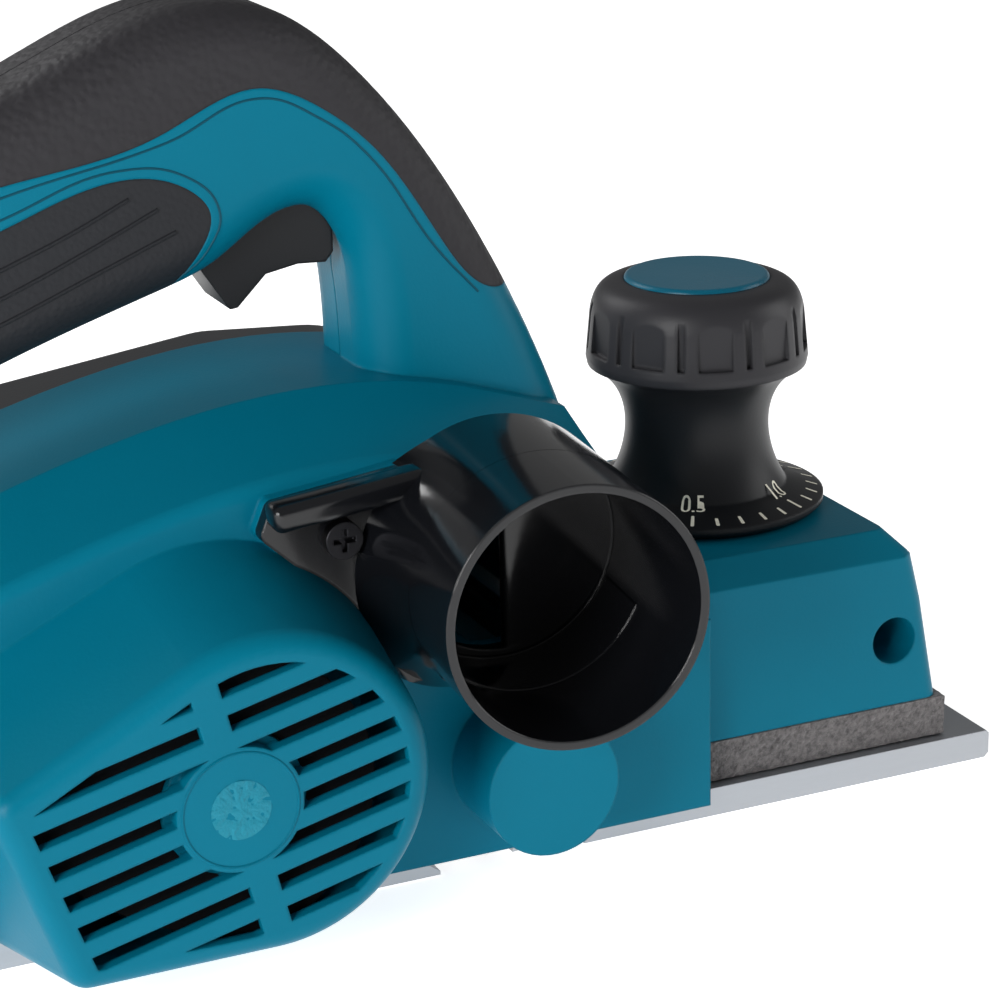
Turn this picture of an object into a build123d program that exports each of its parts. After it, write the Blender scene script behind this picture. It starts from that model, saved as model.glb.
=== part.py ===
"""Hand-held electric planer, 82 mm class, as an assembly of separate pieces.

Frame, in millimetres: the origin is the centre of the rear sole's flat face, +X points forward
to the depth knob, +Y to the operator's left, where the belt cover is, and +Z up.
"""
import math
import os

from build123d import *

os.makedirs("parts", exist_ok=True)

# ---- driving dimensions ----
SOLE_WIDTH = 82.0  # planing width, and the width of the rear sole
REAR_SOLE_LENGTH = 160.0
FRONT_SOLE_LENGTH = 94.5
SOLE_THICKNESS = 6.0
SOLE_MOUTH = 31.0  # open length between the two soles
NOSE_THICKNESS = 0.8  # thin edge of the rear sole at the mouth
DEPTH_MAX = 2.5  # travel of the front sole
DRUM_Z = 23.5  # height of the cutter drum's axis
DRUM_RADIUS = 22.0
DRUM_CAP_RADIUS = 13.5  # boss over the drum's right-hand bearing
DRUM_CAP_Y = -62.0
DRUM_SETBACK = 15.0  # from the rear sole's mouth edge forward to the drum's axis
MOTOR_X = 29.7
MOTOR_Z = 36.8
STATOR_RADIUS = 27.6
ARMATURE_RADIUS = 16.0
SHAFT_RADIUS = 4.0
BEARING_RADIUS = 11.0
BEARING_WIDTH = 7.0
MOTOR_PULLEY_RADIUS = 7.5
DRUM_PULLEY_RADIUS = 12.5
BELT_THICKNESS = 2.6
BELT_WIDTH = 10.0
WALL = 2.4  # moulded wall
BODY_HALF = 42.0  # half width of the main moulding
FRONT_HALF = 38.5  # half width of the front moulding
SKIRT_HALF = 44.5  # half width over the skirts beside the front sole
MOTOR_END_Y = -72.0  # face of the ventilated motor end
MOTOR_END_ROUND = 4.0  # rounding of its rim
FRONT_ROUND = 3.0  # rounding of the front moulding's corners
SHOULDER_ROUND = 3.0  # rounding where the body's top meets its sides
HANDLE_HALF = 16.0  # half thickness of the handle
HANDLE_ROUND = 9.0
SOFT_LAYER = 2.6  # thickness of the rubber layers on the handle
KNOB_X = 158.0
PEDESTAL_Z = 52.0  # top of the moulding under the dial
DIAL_RADIUS = 26.5
KNOB_RADIUS = 22.7
NECK_RADIUS = 15.4
CAP_RADIUS = 15.0
SPINDLE_RADIUS = 4.0
POST_X = 130.5
POST_HALF_SPACING = 25.0
POST_RADIUS = 4.0
FELT_BOTTOM_GAP = 0.1
FRONT_FLOOR_Z = 15.0  # underside of the front moulding
NOZZLE_RADIUS = 24.5
NOZZLE_WALL = 1.6
NOZZLE_X = 91.0
NOZZLE_Z = 68.5
NOZZLE_YAW = 5.0  # degrees towards the rear
NOZZLE_END_Y = -90.0
PORT_RADIUS = 19.0  # chip port in the housing
FENCE_X = 183.3
FENCE_Z = 29.2
FENCE_RADIUS = 5.0
FENCE_DEPTH = 24.0
COVER_Y = 68.0  # outer face of the belt cover
CABLE_HOLE_RADIUS = 3.6
GLAND_RADIUS = 6.0
GLAND_Z = 100.0
SCREW_RADIUS = 1.9
SCREW_LENGTH = 18.0
SCREW_HEAD_RADIUS = 3.6
SCREW_HEAD_HEIGHT = 2.4

# ---- clearances ----
FIT = 0.03  # running fit, on the radius
SEAT = 0.02  # pressed or seated pieces, on the radius
GAP = 0.3  # between pieces that don't touch

# ---- places worked out from the values above ----
REAR_X = -REAR_SOLE_LENGTH / 2
NOSE_X = REAR_SOLE_LENGTH / 2
DRUM_X = NOSE_X + DRUM_SETBACK
FRONT_BASE_X = NOSE_X + SOLE_MOUTH
FRONT_END_X = FRONT_BASE_X + FRONT_SOLE_LENGTH
SOLE_HALF = SOLE_WIDTH / 2
CUT_RADIUS = DRUM_Z - 0.05
CHAMBER_RADIUS = CUT_RADIUS + 2.5
CAVITY_RADIUS = STATOR_RADIUS + 0.2
SKIRT_INNER = SOLE_HALF + 1.0
SKIRT_FRONT_X = FRONT_BASE_X + 26.5
FRONT_FACE_X = FRONT_END_X - 11.0
DRUM_AT = (DRUM_X, DRUM_Z)
MOTOR_AT = (MOTOR_X, MOTOR_Z)
BRACKET_Y = BODY_HALF + 0.1
BRACKET_THICKNESS = 3.6
BEARING_Y = BODY_HALF + 1.6  # inner face of the left-hand bearings
BOSS_Y = BEARING_Y + BEARING_WIDTH + 0.4
PULLEY_Y = BOSS_Y + 1.4
PULLEY_WIDTH = BELT_WIDTH + 1.0
SHAFT_END_Y = PULLEY_Y + PULLEY_WIDTH + 1.6
RIGHT_BEARING_Y = -BEARING_Y - BEARING_WIDTH
MOTOR_RIGHT_BEARING_Y = MOTOR_END_Y + 5.0
COVER_INNER_Y = BODY_HALF + 4.0


def plane_y(y):
    """The plane across the tool at y. Its sketches read X to the right and Z up, seen from the right."""
    return Plane.XZ.offset(-y)


def rod_y(centre, radius, y0, y1, mode=Mode.ADD):
    """A round bar, or a round hole, along Y."""
    with BuildSketch(plane_y(y1)) as disc:
        with Locations(centre):
            Circle(radius)
    extrude(disc.sketch, amount=y1 - y0, mode=mode)


def ring_y(centre, outer, inner, y0, y1):
    """A round ring along Y."""
    with BuildSketch(plane_y(y1)) as ring:
        with Locations(centre):
            Circle(outer)
            Circle(inner, mode=Mode.SUBTRACT)
    extrude(ring.sketch, amount=y1 - y0)


def rod_z(centre, radius, z0, z1, mode=Mode.ADD):
    """A round bar, or a round hole, along Z."""
    with BuildSketch(Plane.XY.offset(z0)) as disc:
        with Locations(centre):
            Circle(radius)
    extrude(disc.sketch, amount=z1 - z0, mode=mode)


def block(x0, x1, y0, y1, z0, z1, mode=Mode.ADD):
    """A square-edged block between two corners."""
    with BuildSketch(Plane.XY.offset(z0)) as base:
        with Locations(((x0 + x1) / 2, (y0 + y1) / 2)):
            Rectangle(x1 - x0, y1 - y0)
    extrude(base.sketch, amount=z1 - z0, mode=mode)


def finish(part, name):
    """Names a piece and writes it out."""
    part.label = name
    export_step(part, f"parts/{name}.step")


def rod_x(centre, radius, x0, x1, mode=Mode.ADD):
    """A round bar, or a round hole, along X."""
    with BuildSketch(Plane.YZ.offset(x0)) as disc:
        with Locations(centre):
            Circle(radius)
    extrude(disc.sketch, amount=x1 - x0, mode=mode)


def screw_y(centre, head_y, side):
    """A cross-head screw along Y, whose head faces side (+1 or -1) at head_y."""
    under_head = head_y - side * SCREW_HEAD_HEIGHT
    end = under_head - side * SCREW_LENGTH
    rod_y(centre, SCREW_RADIUS, min(under_head, end), max(under_head, end))
    rod_y(centre, SCREW_HEAD_RADIUS, min(head_y, under_head), max(head_y, under_head))
    recess_y = head_y - side * SCREW_HEAD_HEIGHT * 0.6
    with BuildSketch(plane_y(max(head_y, recess_y))) as cross:
        with Locations(centre):
            Rectangle(SCREW_HEAD_RADIUS * 1.2, SCREW_HEAD_RADIUS * 0.28)
            Rectangle(SCREW_HEAD_RADIUS * 0.28, SCREW_HEAD_RADIUS * 1.2)
    extrude(cross.sketch, amount=abs(head_y - recess_y), mode=Mode.SUBTRACT)


def coil(radius, wire, height, turns, plane):
    """A coil spring that stands on a plane, its wire's centre line at the radius."""
    with BuildPart() as spring:
        with BuildLine() as path:
            Helix(pitch=(height - 2 * wire) / turns, height=height - 2 * wire, radius=radius, center=(0, 0, wire))
        with BuildSketch(path.line ^ 0):
            Circle(wire)
        sweep(path=path.line, is_frenet=True)
    return plane.location * spring.part


# ---- main moulding: body, front, motor end, skirts and the right half of the handle ----
BODY_TOP = [
    (REAR_X + 3, 34),
    (REAR_X + 12, 50),
    (-40, 67),
    (-10, 79),
    (20, 88.5),
    (47, 94),
    (74, 95),
    (100, 90),
]
# outlines of the motor's end, of its root on the body and of the belt cover: each is the
# tight loop round its circles, given as (x, z, radius)
MOTOR_END_CIRCLES = [(36.3, 37.4, 30.0), (-8.5, 42.5, 4.5), (2.5, 12.5, 5.0)]
MOTOR_ROOT_CIRCLES = [(34.5, 42.5, 35.0), (-19, 46, 9.0), (-7, 15.5, 8.5)]
COVER_CIRCLES = [(-31, 30, 22.5), (20, 54, 24.4), (72, 61, 24.0), (93, 59, 24.5), (98.5, 31, 26.0), (40, 32, 26.0)]
COVER_SCREWS = [(-33, 33), (39, 15.5), (64.5, 66.5), (110, 47)]
BRACKET_SCREWS = [(-14, 24), (-2, 60), (63, 53), (99, 70)]
NOZZLE_SCREW_AT = (59.4, 75)
NOZZLE_PAD = [(44, 77), (46.5, 83), (72, 86), (110, 84), (120, 70), (120, 44), (72, 44), (62, 60)]
HANDLE_OUTER = [
    (126, 70),
    (117.8, 92.5),
    (103.3, 121.9),
    (81.4, 152.2),
    (62, 166),
    (45, 167),
    (16.3, 156.3),
    (-20, 142.5),
    (-52, 128.5),
    (-71, 113),
    (-76, 92),
    (-71, 52),
]
HANDLE_INNER = [
    (-47, 60),
    (-50, 74),
    (-42, 87.5),
    (-15, 96.8),
    (12.5, 105.7),
    (40, 114.5),
    (50.5, 118.5),
    (57.5, 123.2),
    (64, 126.8),
    (70.5, 127.2),
    (75.3, 122.5),
    (78, 113),
    (79, 99),
    (80, 80),
]

CREST_HALF = 20.0  # half width of the body's flat top
CREST_DROP = 9.0  # how far the top falls from there to the sides

with BuildPart() as body_core:
    # flat along the middle, sloping to the sides
    for y, drop in ((-BODY_HALF, CREST_DROP), (-CREST_HALF, 0), (CREST_HALF, 0), (BODY_HALF, CREST_DROP)):
        with BuildSketch(plane_y(y)):
            with BuildLine():
                top = [(x, z - drop) for x, z in BODY_TOP]
                Spline(*top)
                Polyline(
                    top[-1],
                    (118, 84 - drop),
                    (126, 70 - drop / 2),
                    (132, PEDESTAL_Z),
                    (SKIRT_FRONT_X, PEDESTAL_Z - 2),
                    (SKIRT_FRONT_X, FRONT_FLOOR_Z),
                    (FRONT_BASE_X - 2, FRONT_FLOOR_Z),
                    (FRONT_BASE_X - 2, SOLE_THICKNESS),
                    (REAR_X + 3, SOLE_THICKNESS),
                    top[0],
                )
            make_face()
    loft(ruled=True)
    side_edges = body_core.edges().filter_by(
        lambda edge: abs(edge.center().Y) > BODY_HALF - 1 and edge.length > 100 and edge.center().Z > 40
    )
    fillet(side_edges, radius=SHOULDER_ROUND)

with BuildPart() as handle_right_solid:
    with BuildSketch(plane_y(-GAP / 2)):
        with BuildLine():
            Spline(*HANDLE_OUTER)
            Line(HANDLE_OUTER[-1], HANDLE_INNER[0])
            Spline(*HANDLE_INNER)
            Line(HANDLE_INNER[-1], HANDLE_OUTER[0])
        make_face()
    extrude(amount=HANDLE_HALF - GAP / 2)
    outer_rim = handle_right_solid.edges().filter_by(GeomType.BSPLINE).filter_by(
        lambda edge: edge.center().Y < -HANDLE_HALF + 1
    )
    fillet(outer_rim, radius=HANDLE_ROUND)

with BuildPart() as handle_left_solid:
    mirror(handle_right_solid.part, about=Plane.XZ)


def loop_round(circles, shrink=0.0):
    """The tight loop round some circles, made smaller all round."""
    with BuildSketch() as loop:
        with BuildLine():
            for x, z, radius in circles:
                CenterArc((x, z), radius - shrink, 0, 360)
        make_hull()
    return loop.sketch


def nozzle_pad():
    """The outline of the seat that the nozzle's flange lies on."""
    with BuildSketch() as pad:
        with BuildLine():
            Polyline(*NOZZLE_PAD, close=True)
        make_face()
        fillet(pad.vertices(), radius=2)
    return pad.sketch


def inward(points, distance):
    """Points of a smooth line through the given ones, moved to the left of its direction."""
    line = Edge.make_spline([Vector(x, z) for x, z in points])
    steps = 2 * len(points)
    return [(line @ (k / steps)) + (line % (k / steps)).rotate(Axis.Z, 90) * distance for k in range(steps + 1)]


with BuildPart() as grip_core:
    # what the rubber layers wrap: the handle made smaller by their thickness
    outer_line = inward(HANDLE_OUTER, SOFT_LAYER)
    inner_line = inward(HANDLE_INNER, SOFT_LAYER)
    with BuildSketch(plane_y(HANDLE_HALF - SOFT_LAYER)):
        with BuildLine():
            Spline(*outer_line)
            Line(outer_line[-1], inner_line[0])
            Spline(*inner_line)
            Line(inner_line[-1], outer_line[0])
        make_face()
    extrude(amount=2 * (HANDLE_HALF - SOFT_LAYER))
    core_rim = grip_core.edges().filter_by(lambda edge: abs(edge.center().Y) > HANDLE_HALF - SOFT_LAYER - 1)
    fillet(core_rim.filter_by(lambda edge: edge.length > 100), radius=HANDLE_ROUND - SOFT_LAYER)

# the edges of the two rubber layers, seen from the side, each closed clear of the handle
TOP_LAYER_EDGE = [
    (112, 108.5),
    (103.2, 109.5),
    (95, 118.8),
    (81.3, 138.8),
    (71.6, 146.9),
    (59, 152),
    (40.5, 145.5),
    (11, 139.3),
    (-22, 130.5),
    (-50, 117),
    (-62, 108),
    (-84, 106),
]
INSERT_EDGE = [
    (40, 112),
    (46.9, 123.6),
    (48.6, 130),
    (43.7, 135.3),
    (32, 137.8),
    (10.5, 131.6),
    (-15, 123),
    (-35, 112),
    (-43, 99),
    (-44, 84),
]

with BuildPart() as top_layer_zone:
    with BuildSketch(plane_y(HANDLE_HALF + 1)):
        with BuildLine():
            Spline(*TOP_LAYER_EDGE)
            Polyline(TOP_LAYER_EDGE[-1], (-95, 180), (130, 180), TOP_LAYER_EDGE[0])
        make_face()
    extrude(amount=2 * (HANDLE_HALF + 1))
    add(grip_core.part, mode=Mode.SUBTRACT)

with BuildPart() as insert_zone:
    with BuildSketch(plane_y(HANDLE_HALF + 1)):
        with BuildLine():
            Spline(*INSERT_EDGE)
            Line(INSERT_EDGE[-1], INSERT_EDGE[0])
        make_face()
    extrude(amount=2 * (HANDLE_HALF + 1))
    add(grip_core.part, mode=Mode.SUBTRACT)

HANDLE_SCREWS = [(88, 112), (97, 101), (-62, 94), (-60, 74)]
SWITCH_ROOM = (22, 78, 129.5, 150)  # hollow of the handle over the trigger: x from, to, z from, to
HOLLOW_HALF = 11.0  # half width of that hollow
TRIGGER_HALF = 7.0
TRIGGER_PIN_AT = (74.4, 130.4)
TRIGGER_PIN_RADIUS = 1.5
TRIGGER_SPRING_X = 60.0
LOCK_AT = (66, 140)
LOCK_RADIUS = 4.8
SWITCH_Y = 5.0  # left face of the switch


def hollow_handle(y0, y1):
    """Cuts the room for the trigger, its pin, the switch, the cable gland and the screws' shanks."""
    x_from, x_to, z_from, z_to = SWITCH_ROOM
    block(x_from, x_to, max(y0, -HOLLOW_HALF), min(y1, HOLLOW_HALF), z_from, z_to, Mode.SUBTRACT)
    slot_half = TRIGGER_HALF + GAP
    block(46.5, 78, max(y0, -slot_half), min(y1, slot_half), 100, z_from, Mode.SUBTRACT)
    pin_radius = TRIGGER_PIN_RADIUS + SEAT
    rod_y(TRIGGER_PIN_AT, pin_radius, max(y0, -HOLLOW_HALF - 2), min(y1, HOLLOW_HALF + 2), Mode.SUBTRACT)
    rod_x((0, GLAND_Z), GLAND_RADIUS + SEAT, REAR_X - 5, REAR_X + 16, Mode.SUBTRACT)
    for centre in HANDLE_SCREWS:
        rod_y(centre, SCREW_RADIUS + SEAT, y0 if y0 > -1 else -9.5, y1, Mode.SUBTRACT)


REAR_SCREWS = [(x, side * 30) for x in (REAR_X + 14, -12, 66) for side in (-1, 1)]
POSTS = [(POST_X, side * POST_HALF_SPACING) for side in (-1, 1)]
SLOT_TILT = 13.5  # degrees that the vent slots rise towards the front
SLOT_PITCH = 6.6
SLOT_HEIGHT = 3.2
SLOT_MARGIN = 4.4  # plain rim of the vented face
BOSS_RING = 11.8  # plain middle of the vented face
BAND_HALF = 2.7  # half width of the plain band between the two columns of slots
SKIRT_FOOT = 4.2
SKIRT_TOP = 44.0
POCKET_TOP = PEDESTAL_Z - 5
SPINDLE_POCKET = 10.0

with BuildPart() as motor_bulge:
    with BuildSketch(plane_y(MOTOR_END_Y)):
        add(loop_round(MOTOR_END_CIRCLES))
    with BuildSketch(plane_y(-BODY_HALF + 4)):
        add(loop_round(MOTOR_ROOT_CIRCLES))
    loft()
    end_rim = motor_bulge.edges().filter_by(lambda edge: abs(edge.center().Y - MOTOR_END_Y) < 0.5)
    fillet(end_rim, radius=MOTOR_END_ROUND)

with BuildPart() as front_block:
    with BuildSketch(plane_y(FRONT_HALF)):
        with BuildLine():
            Polyline(
                (126, FRONT_FLOOR_Z),
                (126, PEDESTAL_Z),
                (FRONT_FACE_X - 11, PEDESTAL_Z),
                (FRONT_FACE_X - 6.5, PEDESTAL_Z - 5),
                (FRONT_FACE_X - 4, 37),
                (FRONT_FACE_X, FRONT_FLOOR_Z),
                (126, FRONT_FLOOR_Z),
            )
        make_face()
    extrude(amount=2 * FRONT_HALF)
    top_sides = front_block.edges().filter_by(Axis.X).group_by(Axis.Z)[-1]
    chamfer(top_sides, length=5)
    corners = front_block.edges().filter_by(
        lambda edge: edge.center().X > FRONT_FACE_X - 12
        and abs(edge.center().Y) > FRONT_HALF - 6
        and edge.center().Z > FRONT_FLOOR_Z + 1
        and abs(edge.tangent_at(0.5).Y) < 0.9
    )
    fillet(corners, radius=FRONT_ROUND)

with BuildPart() as main_housing:
    add(body_core.part)
    add(front_block.part)
    add(motor_bulge.part)
    add(handle_right_solid.part)
    # skirts beside the front sole, and the round boss over the drum's right-hand bearing
    block(DRUM_X - CHAMBER_RADIUS - 3, SKIRT_FRONT_X, -SKIRT_HALF, -BODY_HALF + 2, SKIRT_FOOT, SKIRT_TOP)
    with BuildSketch(plane_y(-BODY_HALF + 2)):
        add(nozzle_pad())
    extrude(amount=SKIRT_HALF - BODY_HALF + 2)
    block(129, SKIRT_FRONT_X, BODY_HALF - 2, SKIRT_HALF, SKIRT_FOOT, SKIRT_TOP)
    rod_y(DRUM_AT, DRUM_CAP_RADIUS, DRUM_CAP_Y, -BODY_HALF)
    block(FRONT_BASE_X - 2, SKIRT_FRONT_X + 1, -SKIRT_INNER, SKIRT_INNER, 0, FRONT_FLOOR_Z, Mode.SUBTRACT)
    block(NOSE_X - 16, NOSE_X, -SOLE_HALF - GAP, SOLE_HALF + GAP, 0, SOLE_THICKNESS, Mode.SUBTRACT)
    # the hollow round the motor tube
    with BuildSketch(plane_y(BODY_HALF - WALL)):
        with BuildLine():
            Polyline(
                (REAR_X + 6, SOLE_THICKNESS + WALL),
                (REAR_X + 6, 31),
                (REAR_X + 18, 50),
                (-38, 54),
                (-8, 65.5),
                (20, 75),
                (47, 80.5),
                (64, 81.5),
                (64, SOLE_THICKNESS + WALL),
                (REAR_X + 6, SOLE_THICKNESS + WALL),
            )
        make_face()
    extrude(amount=2 * (BODY_HALF - WALL), mode=Mode.SUBTRACT)
    for centre in REAR_SCREWS:
        rod_z(centre, 4.6, SOLE_THICKNESS, 24)
    rod_y(MOTOR_AT, CAVITY_RADIUS + WALL, -BODY_HALF, BODY_HALF)
    with BuildSketch(plane_y(-BODY_HALF - 2)):
        add(loop_round(MOTOR_END_CIRCLES, WALL))
    extrude(amount=-(MOTOR_END_Y + WALL) - BODY_HALF - 2, mode=Mode.SUBTRACT)
    rod_y(MOTOR_AT, BEARING_RADIUS + WALL, MOTOR_END_Y + 1, MOTOR_RIGHT_BEARING_Y + BEARING_WIDTH)
    rod_y(MOTOR_AT, BEARING_RADIUS + SEAT, MOTOR_RIGHT_BEARING_Y - 1, -BODY_HALF, Mode.SUBTRACT)
    rod_y(MOTOR_AT, CAVITY_RADIUS, -BODY_HALF - 3, BODY_HALF, Mode.SUBTRACT)
    # vent slots in the motor's end wall
    with BuildSketch(plane_y(MOTOR_END_Y + WALL + 1)):
        add(loop_round(MOTOR_END_CIRCLES, SLOT_MARGIN))
        with BuildSketch(mode=Mode.INTERSECT):
            with Locations(Location((*MOTOR_AT, 0), (0, 0, SLOT_TILT))):
                with GridLocations(80 + 2 * BAND_HALF, SLOT_PITCH, 2, 8):
                    Rectangle(80, SLOT_HEIGHT)
        with Locations(MOTOR_AT):
            Circle(BOSS_RING, mode=Mode.SUBTRACT)
    extrude(amount=WALL + 2, mode=Mode.SUBTRACT)
    # drum chamber, open below, its right-hand bearing seat, and the chip passage to the nozzle
    rod_y(DRUM_AT, CHAMBER_RADIUS, -BODY_HALF, BODY_HALF, Mode.SUBTRACT)
    block(NOSE_X - 5, FRONT_BASE_X + 10, -BODY_HALF, BODY_HALF, 0, FRONT_FLOOR_Z, Mode.SUBTRACT)
    rod_y(DRUM_AT, BEARING_RADIUS + SEAT, RIGHT_BEARING_Y - 1, -BODY_HALF, Mode.SUBTRACT)
    block(96, 116, -36, 36, 38, 58, Mode.SUBTRACT)
    rod_y((NOZZLE_X, NOZZLE_Z - 2), PORT_RADIUS, -SKIRT_HALF, -6, Mode.SUBTRACT)
    # front: pockets between ribs, spindle bore, post bores and spring pockets, fence bores
    rod_z((KNOB_X, 0), SPINDLE_POCKET, FRONT_FLOOR_Z, POCKET_TOP, Mode.SUBTRACT)
    rod_z((KNOB_X, 0), SPINDLE_RADIUS + FIT, POCKET_TOP, PEDESTAL_Z, Mode.SUBTRACT)
    block(172, 187, -11, 11, FRONT_FLOOR_Z, 44, Mode.SUBTRACT)
    for side in (-1, 1):
        y_in, y_out = sorted((side * 15, side * 35))
        block(144, 172, y_in, y_out, FRONT_FLOOR_Z, 44, Mode.SUBTRACT)
        y_in, y_out = sorted((side * (FRONT_HALF - FENCE_DEPTH), side * (FRONT_HALF + 1)))
        rod_y((FENCE_X, FENCE_Z), FENCE_RADIUS, y_in, y_out, Mode.SUBTRACT)
    for centre in POSTS:
        rod_z(centre, POST_RADIUS + FIT, FRONT_FLOOR_Z, 42, Mode.SUBTRACT)
        rod_z(centre, POST_RADIUS + 2.8, FRONT_FLOOR_Z, 24, Mode.SUBTRACT)
    # what sits in the handle, under its rubber layers and through the walls
    hollow_handle(-HANDLE_HALF, -GAP / 2)
    add(top_layer_zone.part, mode=Mode.SUBTRACT)
    add(insert_zone.part, mode=Mode.SUBTRACT)
    for centre in REAR_SCREWS:
        rod_z(centre, SCREW_RADIUS + SEAT, SOLE_THICKNESS, 22, Mode.SUBTRACT)
    for centre in COVER_SCREWS + BRACKET_SCREWS:
        rod_y(centre, SCREW_RADIUS + SEAT, 25, BODY_HALF, Mode.SUBTRACT)
    rod_y(NOZZLE_SCREW_AT, SCREW_RADIUS + SEAT, -SKIRT_HALF, -25, Mode.SUBTRACT)
finish(main_housing.part, "main_housing")

# ---- left half of the handle and the rubber layers ----
with BuildPart() as handle_cover:
    add(handle_left_solid.part)
    add(body_core.part, mode=Mode.SUBTRACT)
    hollow_handle(GAP / 2, HANDLE_HALF)
    rod_y(LOCK_AT, LOCK_RADIUS + GAP, HOLLOW_HALF, HANDLE_HALF, Mode.SUBTRACT)
    for centre in HANDLE_SCREWS:
        head_room = SCREW_HEAD_RADIUS + 0.4
        rod_y(centre, head_room, HANDLE_HALF - 6, HANDLE_HALF, Mode.SUBTRACT)
    add(top_layer_zone.part, mode=Mode.SUBTRACT)
    add(insert_zone.part, mode=Mode.SUBTRACT)
finish(handle_cover.part, "handle_cover")

with BuildPart() as soft_grip_right:
    add(handle_right_solid.part)
    add(top_layer_zone.part, mode=Mode.INTERSECT)
    rod_x((0, GLAND_Z), GLAND_RADIUS + SEAT, REAR_X - 5, REAR_X + 16, Mode.SUBTRACT)
finish(soft_grip_right.part, "soft_grip_right")

with BuildPart() as soft_grip_left:
    mirror(soft_grip_right.part, about=Plane.XZ)
finish(soft_grip_left.part, "soft_grip_left")

with BuildPart() as grip_insert_right:
    add(handle_right_solid.part)
    add(insert_zone.part, mode=Mode.INTERSECT)
finish(grip_insert_right.part, "grip_insert_right")

with BuildPart() as grip_insert_left:
    mirror(grip_insert_right.part, about=Plane.XZ)
finish(grip_insert_left.part, "grip_insert_left")

with BuildPart() as handle_screws:
    for centre in HANDLE_SCREWS:
        screw_y(centre, HANDLE_HALF - 6 + SCREW_HEAD_HEIGHT, 1)
finish(handle_screws.part, "handle_screws")

with BuildPart() as cord_gland:
    rod_x((0, GLAND_Z), GLAND_RADIUS, REAR_X - 2, REAR_X + 14)
    rod_x((0, GLAND_Z), GLAND_RADIUS + 2, REAR_X - 3, REAR_X - 0.5)
    rod_x((0, GLAND_Z), CABLE_HOLE_RADIUS, REAR_X - 4, REAR_X + 15, Mode.SUBTRACT)
finish(cord_gland.part, "cord_gland")

# ---- switch, trigger and lock button ----
TRIGGER_OUTLINE = [
    (49.2, 116.9),
    (54.5, 108.7),
    (56.1, 108.9),
    (62, 114.7),
    (68.5, 115.9),
    (74.2, 115.6),
    (75.8, 117.5),
    (75.8, 124),
    (77.2, 129.5),
    (76.8, 133.0),
    (72, 133.0),
    (69.5, 129.6),
    (58, 125.5),
    (51.5, 121.5),
]
SWITCH_FLOOR = 131.3
PLUNGER_FOOT = 130.6  # clears the trigger's back at full pull
SPRING_WIRE = 0.35

with BuildPart() as trigger:
    with BuildSketch(plane_y(TRIGGER_HALF)):
        with BuildLine():
            Polyline(*TRIGGER_OUTLINE, close=True)
        make_face()
    extrude(amount=2 * TRIGGER_HALF)
    fillet(trigger.edges().filter_by(Axis.Y).sort_by(Axis.Z)[0:2], radius=0.5)
    rod_y(TRIGGER_PIN_AT, TRIGGER_PIN_RADIUS + FIT, -TRIGGER_HALF, TRIGGER_HALF, Mode.SUBTRACT)
    rod_z((TRIGGER_SPRING_X, 0), 2.7, 117.5, 128, Mode.SUBTRACT)
finish(trigger.part, "trigger")

with BuildPart() as trigger_pin:
    rod_y(TRIGGER_PIN_AT, TRIGGER_PIN_RADIUS, -HOLLOW_HALF - 1.5, HOLLOW_HALF + 1.5)
finish(trigger_pin.part, "trigger_pin")

trigger_coil = coil(2.1, SPRING_WIRE, SWITCH_FLOOR - 117.6, 6, Plane((TRIGGER_SPRING_X, 0, 117.55)))
finish(trigger_coil, "trigger_spring")

with BuildPart() as switch_body:
    block(32, 69, -9, SWITCH_Y, SWITCH_FLOOR, 148)
    rod_z((65.5, 0), 1.8, PLUNGER_FOOT, SWITCH_FLOOR)
    fillet(switch_body.edges().filter_by(Axis.Y).group_by(Axis.Z)[-1], radius=1)
finish(switch_body.part, "switch_body")

with BuildPart() as lock_button:
    rod_y(LOCK_AT, LOCK_RADIUS, HOLLOW_HALF - 1, HANDLE_HALF + 1.8)
    rod_y(LOCK_AT, LOCK_RADIUS + 1.4, HOLLOW_HALF - 1.8, HOLLOW_HALF - 0.3)
    fillet(lock_button.edges().filter_by(GeomType.CIRCLE).sort_by(Axis.Y)[-1], radius=0.8)
finish(lock_button.part, "lock_button")

lock_plane = Plane((LOCK_AT[0], SWITCH_Y + 0.1, LOCK_AT[1]), x_dir=(1, 0, 0), z_dir=(0, 1, 0))
lock_coil = coil(3.6, SPRING_WIRE, HOLLOW_HALF - 1.8 - SWITCH_Y - 0.2, 3, lock_plane)
finish(lock_coil, "lock_spring")

# ---- depth knob with its spindle ----
knob_plane = Plane((KNOB_X, 0, 0), x_dir=(1, 0, 0), z_dir=(0, -1, 0))
knob_axis = Axis((KNOB_X, 0, 0), (0, 0, 1))
DIAL_BOTTOM = PEDESTAL_Z + 0.5
SEAM_Z = 83.0
CAP_Z = 98.5
KNOB_TOP = 101.5
SPINDLE_TOP = 92.0
SPINDLE_BOTTOM = 4.0
GRIP_POCKETS = 10

with BuildPart() as knob_dial:
    with BuildSketch(knob_plane):
        with BuildLine():
            Polyline(
                (SPINDLE_RADIUS + SEAT, SEAM_Z),
                (SPINDLE_RADIUS + SEAT, DIAL_BOTTOM),
                (DIAL_RADIUS - 1, DIAL_BOTTOM),
                (DIAL_RADIUS, DIAL_BOTTOM + 1),
                (DIAL_RADIUS, DIAL_BOTTOM + 2.2),
                (NECK_RADIUS + 3.4, DIAL_BOTTOM + 4.6),
            )
            Spline(
                (NECK_RADIUS + 3.4, DIAL_BOTTOM + 4.6),
                (NECK_RADIUS, DIAL_BOTTOM + 13),
                (NECK_RADIUS, SEAM_Z - 9),
                (KNOB_RADIUS - 0.2, SEAM_Z),
            )
            Line((KNOB_RADIUS - 0.2, SEAM_Z), (SPINDLE_RADIUS + SEAT, SEAM_Z))
        make_face()
    revolve(axis=knob_axis)
finish(knob_dial.part, "knob_dial")

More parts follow.
